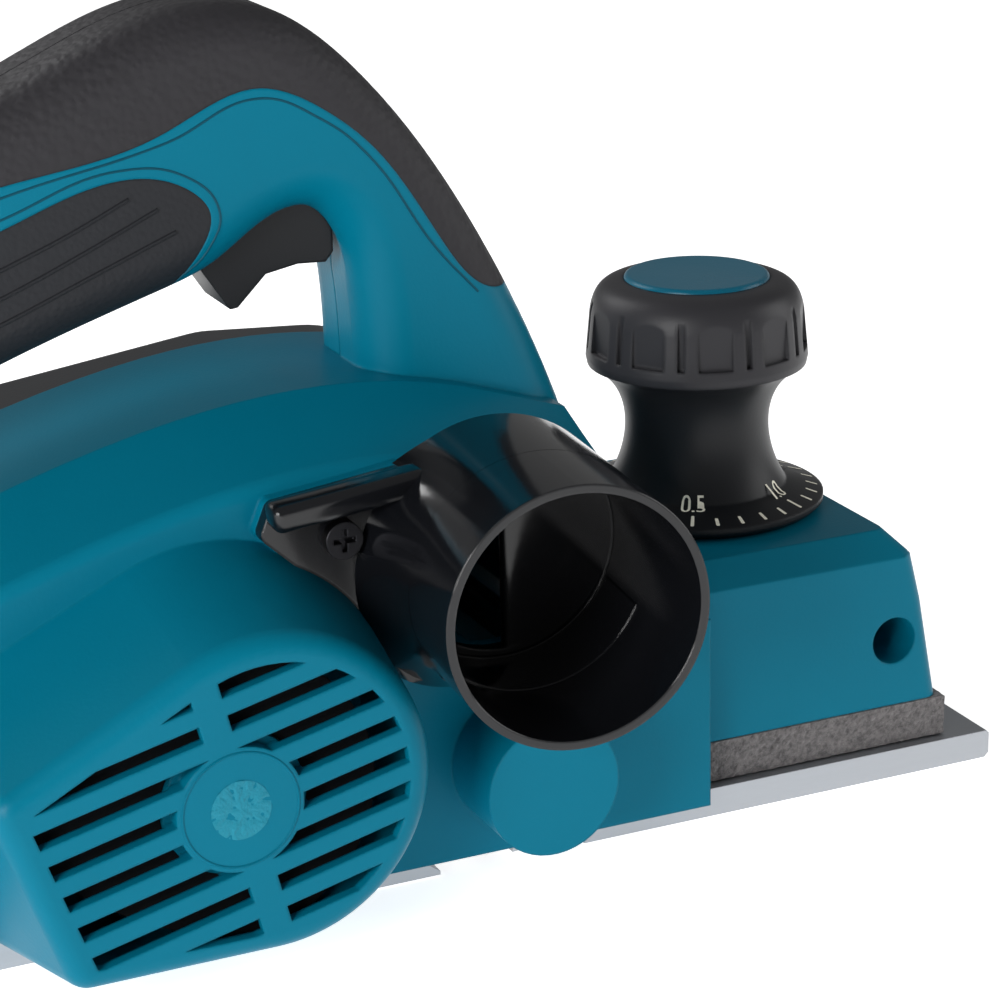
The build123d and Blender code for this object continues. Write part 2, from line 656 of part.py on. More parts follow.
with BuildPart() as knob_grip:
    with BuildSketch(knob_plane):
        with BuildLine():
            Polyline(
                (CAP_RADIUS + SEAT, KNOB_TOP - 0.8),
                (CAP_RADIUS + SEAT, CAP_Z),
                (0, CAP_Z),
                (0, SEAM_Z),
                (KNOB_RADIUS, SEAM_Z),
                (KNOB_RADIUS + 0.3, SEAM_Z + 1.5),
                (KNOB_RADIUS - 0.6, SEAM_Z + 11),
            )
            Spline(
                (KNOB_RADIUS - 0.6, SEAM_Z + 11),
                (KNOB_RADIUS - 3.0, SEAM_Z + 16.2),
                (CAP_RADIUS + SEAT, KNOB_TOP - 0.8),
                tangents=[(-0.15, 1), (-1, 0.1)],
            )
        make_face()
    revolve(axis=knob_axis)
    rod_z((KNOB_X, 0), SPINDLE_RADIUS + SEAT, SEAM_Z, SPINDLE_TOP + 0.2, Mode.SUBTRACT)
    for index in range(GRIP_POCKETS):
        pocket_angle = 360 / GRIP_POCKETS * index
        for turn, width, depth in ((pocket_angle, 7.0, 1.0), (pocket_angle + 180 / GRIP_POCKETS, 1.4, 1.2)):
            reach = Vector(KNOB_RADIUS - depth, 0, 0).rotate(Axis.Z, turn) + Vector(KNOB_X, 0, SEAM_Z + 3.5)
            face_out = Plane(reach, x_dir=(0, 0, 1), z_dir=Vector(1, 0, 0).rotate(Axis.Z, turn))
            with BuildSketch(face_out) as pocket:
                with Locations((5.5, 0)):
                    Rectangle(11, width)
            extrude(pocket.sketch, amount=5, mode=Mode.SUBTRACT)
finish(knob_grip.part, "knob_grip")

with BuildPart() as knob_cap:
    rod_z((KNOB_X, 0), CAP_RADIUS, CAP_Z, KNOB_TOP)
    fillet(knob_cap.edges().group_by(Axis.Z)[-1], radius=1)
finish(knob_cap.part, "knob_cap")

with BuildPart() as knob_spindle:
    rod_z((KNOB_X, 0), SPINDLE_RADIUS, SPINDLE_BOTTOM, SPINDLE_TOP)
    chamfer(knob_spindle.edges().group_by(Axis.Z)[0], length=0.6)
finish(knob_spindle.part, "knob_spindle")

with BuildPart() as thrust_collar:
    rod_z((KNOB_X, 0), 8, POCKET_TOP - 3.5, POCKET_TOP - GAP)
    rod_z((KNOB_X, 0), SPINDLE_RADIUS + SEAT, POCKET_TOP - 4, POCKET_TOP, Mode.SUBTRACT)
finish(thrust_collar.part, "thrust_collar")

# ---- front base, its guide posts and springs, spindle nut and felt seal ----
BASE_BOSS_RADIUS = 8.5
BASE_BOSS_TOP = 12.0
NUT_RADIUS = 6.0
GROOVE_DEPTH = 2.4
SLANT = 3.8  # run of the slanted edge beside the drum

with BuildPart() as front_base:
    with BuildSketch(plane_y(SOLE_HALF)):
        with BuildLine():
            Polyline(
                (FRONT_BASE_X, 0),
                (FRONT_END_X - 1, 0),
                (FRONT_END_X, 1),
                (FRONT_END_X, SOLE_THICKNESS - 0.6),
                (FRONT_END_X - 0.6, SOLE_THICKNESS),
                (FRONT_BASE_X + SLANT, SOLE_THICKNESS),
                close=True,
            )
        make_face()
    extrude(amount=SOLE_WIDTH)
    rod_z((KNOB_X, 0), BASE_BOSS_RADIUS, SOLE_THICKNESS, BASE_BOSS_TOP)
    rod_z((KNOB_X, 0), SPINDLE_RADIUS + 0.6, 0, SOLE_THICKNESS - 1, Mode.SUBTRACT)
    rod_z((KNOB_X, 0), NUT_RADIUS + SEAT, SOLE_THICKNESS - 1, BASE_BOSS_TOP, Mode.SUBTRACT)
    for centre in POSTS:
        rod_z(centre, POST_RADIUS + SEAT, 1, SOLE_THICKNESS, Mode.SUBTRACT)
    # the groove that guides the planer along a square edge
    with BuildSketch(Plane.YZ.offset(KNOB_X + SPINDLE_RADIUS + 2)) as groove:
        with BuildLine():
            Polyline((-GROOVE_DEPTH, 0), (0, GROOVE_DEPTH), (GROOVE_DEPTH, 0), close=True)
        make_face()
    extrude(groove.sketch, amount=FRONT_SOLE_LENGTH, mode=Mode.SUBTRACT)
finish(front_base.part, "front_base")

with BuildPart() as spindle_nut:
    rod_z((KNOB_X, 0), NUT_RADIUS, SOLE_THICKNESS - 1, BASE_BOSS_TOP)
    rod_z((KNOB_X, 0), SPINDLE_RADIUS + FIT, 0, BASE_BOSS_TOP, Mode.SUBTRACT)
finish(spindle_nut.part, "spindle_nut")

with BuildPart() as guide_posts:
    for centre in POSTS:
        rod_z(centre, POST_RADIUS, 1, 36)
finish(guide_posts.part, "guide_posts")

base_coils = Compound(
    [coil(POST_RADIUS + 1.3, 0.6, 24 - SOLE_THICKNESS - 0.6, 5, Plane((x, y, SOLE_THICKNESS + 0.3))) for x, y in POSTS]
)
finish(base_coils, "base_springs")

with BuildPart() as felt_seal:
    felt_x0 = SKIRT_FRONT_X + 0.6
    felt_x1 = FRONT_FACE_X + 1.5
    felt_top = FRONT_FLOOR_Z - FELT_BOTTOM_GAP
    block(felt_x0, felt_x1, -FRONT_HALF, FRONT_HALF, SOLE_THICKNESS + FELT_BOTTOM_GAP, felt_top)
    block(felt_x0 + 2, felt_x1 - 8, -FRONT_HALF + 7, FRONT_HALF - 7, 0, FRONT_FLOOR_Z, Mode.SUBTRACT)
finish(felt_seal.part, "felt_seal")

# ---- rear base ----
with BuildPart() as rear_base:
    with BuildSketch(plane_y(SOLE_HALF)):
        with BuildLine():
            Polyline(
                (REAR_X, 0.6),
                (REAR_X, SOLE_THICKNESS),
                (NOSE_X - 7, SOLE_THICKNESS),
                (NOSE_X, NOSE_THICKNESS),
                (NOSE_X, 0),
                (REAR_X + 0.6, 0),
                close=True,
            )
        make_face()
    extrude(amount=SOLE_WIDTH)
    for centre in REAR_SCREWS:
        rod_z(centre, SCREW_RADIUS + SEAT, 0, SOLE_THICKNESS, Mode.SUBTRACT)
        rod_z(centre, SCREW_HEAD_RADIUS + SEAT, 0, SCREW_HEAD_HEIGHT + 0.5, Mode.SUBTRACT)
finish(rear_base.part, "rear_base")

with BuildPart() as rear_base_screws:
    for centre in REAR_SCREWS:
        rod_z(centre, SCREW_RADIUS, SCREW_HEAD_HEIGHT + 0.5, 20)
        rod_z(centre, SCREW_HEAD_RADIUS, 0.5, SCREW_HEAD_HEIGHT + 0.5)
        with BuildSketch(Plane.XY.offset(0.5)) as cross:
            with Locations(centre):
                Rectangle(SCREW_HEAD_RADIUS * 1.2, SCREW_HEAD_RADIUS * 0.28)
                Rectangle(SCREW_HEAD_RADIUS * 0.28, SCREW_HEAD_RADIUS * 1.2)
        extrude(cross.sketch, amount=SCREW_HEAD_HEIGHT * 0.6, mode=Mode.SUBTRACT)
finish(rear_base_screws.part, "rear_base_screws")

# ---- cutter drum ----
BLADE_ANGLE = 62.0  # degrees above the forward direction
BLADE_THICKNESS = 1.1
BLADE_HEIGHT = 6.5
CLAMP_THICKNESS = 3.0
CLAMP_FOOT = 11.5
BOLT_REACH = 14.3  # from the drum's axis out to the bolts
BOLT_YS = (-27, 0, 27)
BOLT_RADIUS = 2.4


def drum_plane(index, y=SOLE_HALF):
    """The plane across the drum at y whose first direction points out along a blade."""
    turn = math.radians(BLADE_ANGLE + 180 * index)
    return Plane((DRUM_X, y, DRUM_Z), x_dir=(math.cos(turn), 0, math.sin(turn)), z_dir=(0, -1, 0))


with BuildPart() as drum_block:
    rod_y(DRUM_AT, DRUM_RADIUS, -SOLE_HALF, SOLE_HALF)
    rod_y(DRUM_AT, SHAFT_RADIUS + SEAT, -SOLE_HALF, SOLE_HALF, Mode.SUBTRACT)
    for index in (0, 1):
        with BuildSketch(drum_plane(index)) as gullet:
            with BuildLine():
                Polyline(
                    (CLAMP_FOOT - 0.1, -0.02),
                    (CLAMP_FOOT - 0.1, BLADE_THICKNESS + CLAMP_THICKNESS + 1.6),
                    (DRUM_RADIUS - 5, BLADE_THICKNESS + CLAMP_THICKNESS + 6),
                    (DRUM_RADIUS + 3, BLADE_THICKNESS + CLAMP_THICKNESS + 8),
                    (DRUM_RADIUS + 3, -0.02),
                    close=True,
                )
            make_face()
        extrude(gullet.sketch, amount=SOLE_WIDTH, mode=Mode.SUBTRACT)
        for y in BOLT_YS:
            turn = math.radians(BLADE_ANGLE + 180 * index)
            out = Vector(math.cos(turn), 0, math.sin(turn))
            across = Vector(-math.sin(turn), 0, math.cos(turn))
            seat = Plane(Vector(DRUM_X, y, DRUM_Z) + out * BOLT_REACH, z_dir=across)
            with BuildSketch(seat) as bore:
                Circle(BOLT_RADIUS + SEAT)
            extrude(bore.sketch, amount=-9, mode=Mode.SUBTRACT)
finish(drum_block.part, "drum_block")

for index in (0, 1):
    with BuildPart() as cutter_blade:
        with BuildSketch(drum_plane(index)) as section:
            with Locations((CUT_RADIUS - 0.05 - BLADE_HEIGHT / 2, BLADE_THICKNESS / 2)):
                Rectangle(BLADE_HEIGHT, BLADE_THICKNESS)
        extrude(section.sketch, amount=SOLE_WIDTH)
        chamfer(cutter_blade.edges().filter_by(Axis.Y).sort_by_distance(
            Vector(*drum_plane(index).from_local_coords((CUT_RADIUS, BLADE_THICKNESS * 2, 0)))
        )[0], length=0.5)
    finish(cutter_blade.part, f"cutter_blade_{index + 1}")

    with BuildPart() as blade_clamp:
        with BuildSketch(drum_plane(index, SOLE_HALF - 0.5)) as section:
            with Locations((CLAMP_FOOT + 5, BLADE_THICKNESS + CLAMP_THICKNESS / 2 + 0.02)):
                Rectangle(10, CLAMP_THICKNESS)
            with Locations((CLAMP_FOOT + 2.6, BLADE_THICKNESS / 2 + 0.01)):
                Rectangle(5.2, BLADE_THICKNESS + 0.02)
        extrude(section.sketch, amount=SOLE_WIDTH - 1)
        for y in BOLT_YS:
            turn = math.radians(BLADE_ANGLE + 180 * index)
            out = Vector(math.cos(turn), 0, math.sin(turn))
            across = Vector(-math.sin(turn), 0, math.cos(turn))
            seat = Plane(Vector(DRUM_X, y, DRUM_Z) + out * BOLT_REACH, z_dir=across)
            with BuildSketch(seat) as bore:
                Circle(BOLT_RADIUS + SEAT)
            extrude(bore.sketch, amount=12, both=True, mode=Mode.SUBTRACT)
    finish(blade_clamp.part, f"blade_clamp_{index + 1}")

with BuildPart() as clamp_bolts:
    for index in (0, 1):
        turn = math.radians(BLADE_ANGLE + 180 * index)
        out = Vector(math.cos(turn), 0, math.sin(turn))
        across = Vector(-math.sin(turn), 0, math.cos(turn))
        for y in BOLT_YS:
            face = Plane(Vector(DRUM_X, y, DRUM_Z) + out * BOLT_REACH + across * 4.14, z_dir=across)
            with BuildSketch(face) as shank:
                Circle(BOLT_RADIUS)
            extrude(shank.sketch, amount=-12)
            with BuildSketch(face) as head:
                Circle(BOLT_RADIUS)
                RegularPolygon(1.4, 6, mode=Mode.SUBTRACT)
            extrude(head.sketch, amount=1.2)
finish(clamp_bolts.part, "clamp_bolts")

with BuildPart() as drum_shaft:
    rod_y(DRUM_AT, SHAFT_RADIUS, RIGHT_BEARING_Y, SHAFT_END_Y)
finish(drum_shaft.part, "drum_shaft")

# ---- bearings, pulleys and belt ----
BEARINGS = {
    "drum_bearing_right": (DRUM_AT, RIGHT_BEARING_Y),
    "drum_bearing_left": (DRUM_AT, BEARING_Y),
    "motor_bearing_right": (MOTOR_AT, MOTOR_RIGHT_BEARING_Y),
    "motor_bearing_left": (MOTOR_AT, BEARING_Y),
}
for name, (centre, y) in BEARINGS.items():
    with BuildPart() as bearing:
        ring_y(centre, BEARING_RADIUS, SHAFT_RADIUS + FIT, y, y + BEARING_WIDTH)
        for side_y in (y, y + BEARING_WIDTH - 0.5):
            with BuildSketch(plane_y(side_y + 0.5)) as race_gap:
                with Locations(centre):
                    Circle(BEARING_RADIUS - 2.2)
                    Circle(SHAFT_RADIUS + 1.8, mode=Mode.SUBTRACT)
            extrude(race_gap.sketch, amount=0.5, mode=Mode.SUBTRACT)
    finish(bearing.part, name)

PULLEYS = {
    "motor_pulley": (MOTOR_AT, MOTOR_PULLEY_RADIUS),
    "drum_pulley": (DRUM_AT, DRUM_PULLEY_RADIUS),
}
for name, (centre, radius) in PULLEYS.items():
    with BuildPart() as pulley:
        ring_y(centre, radius, SHAFT_RADIUS + SEAT, PULLEY_Y, PULLEY_Y + PULLEY_WIDTH)
        for rib in range(4):
            groove_y = PULLEY_Y + PULLEY_WIDTH * (rib + 1) / 5
            with BuildSketch(plane_y(groove_y + 0.6)) as rib_gap:
                with Locations(centre):
                    Circle(radius)
                    Circle(radius - 1, mode=Mode.SUBTRACT)
            extrude(rib_gap.sketch, amount=1.2, mode=Mode.SUBTRACT)
    finish(pulley.part, name)

with BuildPart() as drive_belt:
    with BuildSketch(plane_y(PULLEY_Y + PULLEY_WIDTH - 0.5)):
        for grow, mode in ((GAP + BELT_THICKNESS, Mode.ADD), (GAP, Mode.SUBTRACT)):
            with BuildSketch(mode=mode):
                add(loop_round([(*MOTOR_AT, MOTOR_PULLEY_RADIUS + grow), (*DRUM_AT, DRUM_PULLEY_RADIUS + grow)]))
    extrude(amount=BELT_WIDTH)
finish(drive_belt.part, "drive_belt")

# ---- motor ----
with BuildPart() as motor_shaft:
    rod_y(MOTOR_AT, SHAFT_RADIUS, MOTOR_RIGHT_BEARING_Y + 0.5, SHAFT_END_Y)
finish(motor_shaft.part, "motor_shaft")

with BuildPart() as armature_core:
    ring_y(MOTOR_AT, ARMATURE_RADIUS, SHAFT_RADIUS + SEAT, -22, 18)
    with BuildSketch(plane_y(18)) as core_slots:
        with Locations(MOTOR_AT):
            with PolarLocations(ARMATURE_RADIUS, 12):
                Rectangle(4, 1.6)
    extrude(core_slots.sketch, amount=40, mode=Mode.SUBTRACT)
finish(armature_core.part, "armature_core")

with BuildPart() as armature_windings:
    ring_y(MOTOR_AT, ARMATURE_RADIUS - 2.4, SHAFT_RADIUS + 1.5, 18 + SEAT, 24)
    ring_y(MOTOR_AT, ARMATURE_RADIUS - 2.4, SHAFT_RADIUS + 1.5, -29, -22 - SEAT)
    fillet(armature_windings.edges().group_by(Axis.Y)[-1], radius=1.5)
finish(armature_windings.part, "armature_windings")

with BuildPart() as commutator:
    ring_y(MOTOR_AT, 10, SHAFT_RADIUS + SEAT, -45, -30)
    with BuildSketch(plane_y(-31.5)) as bar_gaps:
        with Locations(MOTOR_AT):
            with PolarLocations(10, 24):
                Rectangle(1.6, 0.4)
    extrude(bar_gaps.sketch, amount=14, mode=Mode.SUBTRACT)
finish(commutator.part, "commutator")

with BuildPart() as fan:
    ring_y(MOTOR_AT, 25.5, SHAFT_RADIUS + SEAT, 36, 38)
    ring_y(MOTOR_AT, 8, SHAFT_RADIUS + SEAT, 28, 36)
    with BuildSketch(plane_y(36)) as vanes:
        with Locations(MOTOR_AT):
            with PolarLocations(16.5, 14):
                Rectangle(17.4, 1.2)
    extrude(vanes.sketch, amount=6.5)
finish(fan.part, "fan")

def arc_band(outer, inner, start, sweep_angle):
    """A curved band round the motor's axis, from a start angle."""
    with BuildSketch() as band:
        with BuildLine():
            outer_arc = CenterArc(MOTOR_AT, outer, start, sweep_angle)
            inner_arc = CenterArc(MOTOR_AT, inner, start, sweep_angle)
            Line(outer_arc @ 0, inner_arc @ 0)
            Line(outer_arc @ 1, inner_arc @ 1)
        make_face()
    return band.sketch


with BuildPart() as field_coils:
    with BuildSketch(plane_y(25)):
        for start in (30, 210):
            add(arc_band(25, 18, start, 120))
    extrude(amount=54)
    with BuildSketch(plane_y(19)) as pole_room:
        for start in (52, 232):
            add(arc_band(27, 17, start, 76))
    extrude(pole_room.sketch, amount=42, mode=Mode.SUBTRACT)
finish(field_coils.part, "field_coils")

with BuildPart() as stator_core:
    ring_y(MOTOR_AT, STATOR_RADIUS, ARMATURE_RADIUS + 0.6, -22, 18)
    with BuildSketch(plane_y(18)) as windows:
        for start in (29, 127, 209, 307):
            add(arc_band(25.2, 17.8, start, 24))
    extrude(windows.sketch, amount=40, mode=Mode.SUBTRACT)
finish(stator_core.part, "stator_core")

BRUSH_Y = -38.0
with BuildPart() as brush_holders:
    for side in (-1, 1):
        x_in, x_out = sorted((MOTOR_X + side * 12, MOTOR_X + side * 26))
        block(x_in, x_out, BRUSH_Y - 5.5, BRUSH_Y + 5.5, MOTOR_Z - 4, MOTOR_Z + 4)
    block(0, 60, BRUSH_Y - 4 - SEAT, BRUSH_Y + 4 + SEAT, MOTOR_Z - 2.5 - SEAT, MOTOR_Z + 2.5 + SEAT, Mode.SUBTRACT)
finish(brush_holders.part, "brush_holders")

with BuildPart() as carbon_brushes:
    for side in (-1, 1):
        x_in, x_out = sorted((MOTOR_X + side * 10.2, MOTOR_X + side * 23))
        block(x_in, x_out, BRUSH_Y - 4, BRUSH_Y + 4, MOTOR_Z - 2.5, MOTOR_Z + 2.5)
finish(carbon_brushes.part, "carbon_brushes")

# ---- bearing bracket, belt cover and their screws ----
COVER_BOSS = 4.8

with BuildPart() as bearing_bracket:
    with BuildSketch(plane_y(BRACKET_Y + BRACKET_THICKNESS)):
        add(loop_round(COVER_CIRCLES, WALL + 0.5))
    extrude(amount=BRACKET_THICKNESS)
    for centre in (MOTOR_AT, DRUM_AT):
        rod_y(centre, BEARING_RADIUS + WALL, BRACKET_Y, BOSS_Y)
    for centre in (MOTOR_AT, DRUM_AT):
        rod_y(centre, BEARING_RADIUS + SEAT, BEARING_Y, BOSS_Y, Mode.SUBTRACT)
        rod_y(centre, SHAFT_RADIUS + 2, BRACKET_Y - 1, BEARING_Y, Mode.SUBTRACT)
    for centre in COVER_SCREWS + BRACKET_SCREWS:
        rod_y(centre, SCREW_RADIUS + SEAT, BRACKET_Y - 1, BOSS_Y, Mode.SUBTRACT)
finish(bearing_bracket.part, "bearing_bracket")

with BuildPart() as bracket_screws:
    for centre in BRACKET_SCREWS:
        screw_y(centre, BRACKET_Y + BRACKET_THICKNESS + SCREW_HEAD_HEIGHT, 1)
finish(bracket_screws.part, "bracket_screws")

with BuildPart() as belt_cover:
    with BuildSketch(plane_y(COVER_Y)):
        add(loop_round(COVER_CIRCLES))
    extrude(amount=COVER_Y - BRACKET_Y)
    fillet(belt_cover.edges().filter_by(lambda edge: edge.center().Y > COVER_Y - 0.5), radius=5)
    with BuildSketch(plane_y(COVER_Y - WALL)) as hollow:
        add(loop_round(COVER_CIRCLES, WALL))
    extrude(hollow.sketch, amount=COVER_Y - WALL - BRACKET_Y, mode=Mode.SUBTRACT)
    for centre in COVER_SCREWS:
        rod_y(centre, COVER_BOSS, BRACKET_Y + BRACKET_THICKNESS + SEAT, COVER_Y - WALL / 2)
    for centre in COVER_SCREWS:
        rod_y(centre, SCREW_RADIUS + SEAT, BRACKET_Y, COVER_Y, Mode.SUBTRACT)
        rod_y(centre, SCREW_HEAD_RADIUS + 0.3, COVER_Y - 9, COVER_Y, Mode.SUBTRACT)
finish(belt_cover.part, "belt_cover")

with BuildPart() as belt_cover_screws:
    for centre in COVER_SCREWS:
        screw_y(centre, COVER_Y - 9 + SCREW_HEAD_HEIGHT, 1)
finish(belt_cover_screws.part, "belt_cover_screws")

# ---- chip nozzle ----
FLANGE_THICKNESS = 3.2
FLANGE_Y = -SKIRT_HALF - FLANGE_THICKNESS
nozzle_out = Vector(0, -1, 0).rotate(Axis.Z, -NOZZLE_YAW)
nozzle_root = Plane((NOZZLE_X, FLANGE_Y + 1, NOZZLE_Z), x_dir=(0, 0, 1), z_dir=nozzle_out)
NOZZLE_LENGTH = (FLANGE_Y + 1 - NOZZLE_END_Y) / math.cos(math.radians(NOZZLE_YAW))
with BuildPart() as chip_nozzle:
    with BuildSketch(plane_y(-SKIRT_HALF)):
        add(nozzle_pad())
    extrude(amount=FLANGE_THICKNESS)
    with BuildSketch(nozzle_root) as tube:
        Circle(NOZZLE_RADIUS)
    extrude(tube.sketch, amount=NOZZLE_LENGTH)
    with BuildSketch(nozzle_root.offset(1)) as bore:
        Circle(NOZZLE_RADIUS - NOZZLE_WALL)
    extrude(bore.sketch, amount=NOZZLE_LENGTH, mode=Mode.SUBTRACT)
    rod_y((NOZZLE_X, NOZZLE_Z - 2), PORT_RADIUS, FLANGE_Y, -SKIRT_HALF, Mode.SUBTRACT)
    rod_y(NOZZLE_SCREW_AT, SCREW_RADIUS + SEAT, FLANGE_Y, -SKIRT_HALF, Mode.SUBTRACT)
    add(main_housing.part, mode=Mode.SUBTRACT)
finish(chip_nozzle.part, "chip_nozzle")

with BuildPart() as nozzle_screw:
    screw_y(NOZZLE_SCREW_AT, FLANGE_Y - SCREW_HEAD_HEIGHT, -1)
finish(nozzle_screw.part, "nozzle_screw")
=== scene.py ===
import math

import bpy
from mathutils import Matrix, Vector


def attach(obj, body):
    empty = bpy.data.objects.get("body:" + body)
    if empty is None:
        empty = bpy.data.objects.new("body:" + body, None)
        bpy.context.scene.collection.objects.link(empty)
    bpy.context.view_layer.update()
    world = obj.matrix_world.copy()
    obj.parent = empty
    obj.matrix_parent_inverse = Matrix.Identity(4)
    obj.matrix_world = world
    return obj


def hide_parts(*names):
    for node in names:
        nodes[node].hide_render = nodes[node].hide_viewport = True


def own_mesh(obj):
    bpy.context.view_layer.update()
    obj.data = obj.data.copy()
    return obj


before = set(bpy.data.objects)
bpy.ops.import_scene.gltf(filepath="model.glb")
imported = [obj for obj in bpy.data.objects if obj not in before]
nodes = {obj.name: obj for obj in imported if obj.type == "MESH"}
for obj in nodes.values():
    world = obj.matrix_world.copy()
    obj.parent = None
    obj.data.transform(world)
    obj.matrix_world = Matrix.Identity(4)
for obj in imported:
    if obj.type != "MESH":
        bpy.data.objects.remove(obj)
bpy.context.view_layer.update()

# ---- Main moulding, front moulding and left half of the handle ----
# One hard glass-filled nylon shell in blue-green, with the fine spark-eroded skin of its mould.
# The left half of the handle is a separate moulding of the same plastic, held by screws.
BLUE_GREEN = (0.0, 0.142, 0.222)
BLUE_GREEN_WORN = (0.0, 0.16, 0.248)


def moulded(name, colour, other, roughness, grain, depth, edge, sheen_spread=0.06, gloss=0.25):
    """A moulded finish: two close tints, fine grain, and edges that are never quite sharp."""
    material = bpy.data.materials.new(name)
    material.use_nodes = True
    tree = material.node_tree
    shader = tree.nodes["Principled BSDF"]
    shader.inputs["Specular IOR Level"].default_value = gloss
    place = tree.nodes.new("ShaderNodeTexCoord")
    clouds = tree.nodes.new("ShaderNodeTexNoise")
    clouds.inputs["Scale"].default_value = 28
    clouds.inputs["Detail"].default_value = 4
    tint = tree.nodes.new("ShaderNodeMix")
    tint.data_type = "RGBA"
    tint.inputs["A"].default_value = (*colour, 1)
    tint.inputs["B"].default_value = (*other, 1)
    spread = tree.nodes.new("ShaderNodeMapRange")
    spread.inputs["From Min"].default_value = 0.3
    spread.inputs["From Max"].default_value = 0.7
    spread.inputs["To Min"].default_value = roughness - sheen_spread
    spread.inputs["To Max"].default_value = roughness + sheen_spread
    skin = tree.nodes.new("ShaderNodeTexNoise")
    skin.inputs["Scale"].default_value = grain
    skin.inputs["Detail"].default_value = 3
    soft_edge = tree.nodes.new("ShaderNodeBevel")
    soft_edge.samples = 4
    soft_edge.inputs["Radius"].default_value = edge
    bump = tree.nodes.new("ShaderNodeBump")
    bump.inputs["Distance"].default_value = depth
    bump.inputs["Strength"].default_value = 0.6
    link = tree.links.new
    link(place.outputs["Object"], clouds.inputs["Vector"])
    link(place.outputs["Object"], skin.inputs["Vector"])
    link(clouds.outputs["Fac"], tint.inputs["Factor"])
    link(clouds.outputs["Fac"], spread.inputs["Value"])
    link(tint.outputs["Result"], shader.inputs["Base Color"])
    link(spread.outputs["Result"], shader.inputs["Roughness"])
    link(skin.outputs["Fac"], bump.inputs["Height"])
    link(soft_edge.outputs["Normal"], bump.inputs["Normal"])
    link(bump.outputs["Normal"], shader.inputs["Normal"])
    return material


def finish_nodes(material, *names):
    """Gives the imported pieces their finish."""
    for name in names:
        nodes[name].data.materials.clear()
        nodes[name].data.materials.append(material)


shell_plastic = moulded(
    "shell_plastic", BLUE_GREEN, BLUE_GREEN_WORN, 0.36, 1500, 0.00005, 0.0009, 0.06, 0.1
)
finish_nodes(shell_plastic, "main_housing", "handle_cover")

# ---- Rubber layers on the handle ----
# A soft elastomer moulded over the top of the handle and two inserts at the palm side.
# It is charcoal, with a leather-like grain and almost no shine.
CHARCOAL = (0.024, 0.023, 0.026)


def grained_rubber(name, colour, grain, depth, roughness):
    """Soft elastomer with a leather-like grain pressed into it."""
    lighter = tuple(c * 1.25 for c in colour)
    material = moulded(name, colour, lighter, roughness, grain * 3, 0.00003, 0.0007)
    tree = material.node_tree
    place = tree.nodes["Texture Coordinate"]
    shader = tree.nodes["Principled BSDF"]
    cells = tree.nodes.new("ShaderNodeTexVoronoi")
    cells.feature = "SMOOTH_F1"
    cells.inputs["Scale"].default_value = grain
    cells.inputs["Smoothness"].default_value = 0.6
    cells.inputs["Randomness"].default_value = 1.0
    press = tree.nodes.new("ShaderNodeBump")
    press.inputs["Distance"].default_value = depth
    press.inputs["Strength"].default_value = 0.8
    press.invert = True
    tree.links.new(place.outputs["Object"], cells.inputs["Vector"])
    tree.links.new(cells.outputs["Distance"], press.inputs["Height"])
    tree.links.new(tree.nodes["Bump"].outputs["Normal"], press.inputs["Normal"])
    tree.links.new(press.outputs["Normal"], shader.inputs["Normal"])
    return material


grip_rubber = grained_rubber("grip_rubber", CHARCOAL, 620, 0.00025, 0.58)
insert_rubber = grained_rubber("insert_rubber", (0.016, 0.017, 0.02), 900, 0.00012, 0.5)
finish_nodes(grip_rubber, "soft_grip_right", "soft_grip_left")
finish_nodes(insert_rubber, "grip_insert_right", "grip_insert_left")

# ---- Lines moulded round the handle ----
# A fine groove runs beside the rubber on each half of the handle, and another beside the insert; each is
# drawn as a thin tube in a dark colour that is the groove's painted shade.
# Three thin ribs run along each insert, where the fingers hold.
HANDLE_SIDE = 0.0161
GROOVE_RADIUS = 0.00022
RIB_RADIUS = 0.0004
TOP_GROOVE = (
    (101.9, 108.3), (93.5, 117.8), (80.1, 137.4), (70.7, 145.3), (59, 150.1),
    (41, 143.8), (11.4, 137.5), (-21.4, 128.8), (-49.1, 115.5), (-61, 106.4),
)
INSERT_GROOVE = (
    (42.6, 112.8), (48.6, 122.9), (50.3, 130.4), (44.8, 136.9), (31.8, 139.6),
    (9.9, 133.3), (-15.6, 124.7), (-36.0, 113.5), (-44.8, 99.6),
)
RIBS = (
    ((-34, 108), (9.8, 124.4), (21.5, 128.9), (33.2, 134.2)),
    ((-35, 103.5), (9.5, 119.2), (23.4, 124.9), (38.6, 131.7)),
    ((-36, 99), (8.6, 114.2), (25, 120.6), (41.9, 127.2)),
)
# Dark blue-green for the groove lines: painted shade inside the grooves.
painted_groove_shade = moulded(
    "painted_groove_shade", (0.0, 0.06, 0.095), (0.0, 0.07, 0.11), 0.6, 1500, 0.00002, 0.0002,
)


def nothing_selected():
    """A clean start for the next piece."""
    bpy.ops.object.select_all(action="DESELECT")


def moulded_line(name, points, side, lies_on, radius, material):
    """A fine line along the handle's side, laid on the piece under it."""
    nothing_selected()
    bpy.ops.curve.primitive_bezier_curve_add(location=(0, 0, 0))
    line = bpy.context.object
    spline = line.data.splines[0]
    spline.bezier_points.add(len(points) - 2)
    for bend, (x, z) in zip(spline.bezier_points, points):
        bend.co = (x / 1000, side * HANDLE_SIDE, z / 1000)
        bend.handle_left_type = bend.handle_right_type = "AUTO"
    spline.resolution_u = 14
    bpy.ops.object.convert(target="MESH")
    lay = line.modifiers.new("lay", "SHRINKWRAP")
    lay.target = nodes[lies_on]
    bpy.ops.object.modifier_apply(modifier="lay")
    bpy.ops.object.convert(target="CURVE")
    line.data.bevel_depth = radius
    line.data.bevel_resolution = 2
    line.data.use_fill_caps = True
    bpy.ops.object.convert(target="MESH")
    line.name = name
    line.data.materials.clear()
    line.data.materials.append(material)
    bpy.ops.object.shade_smooth()
    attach(line, "housing")


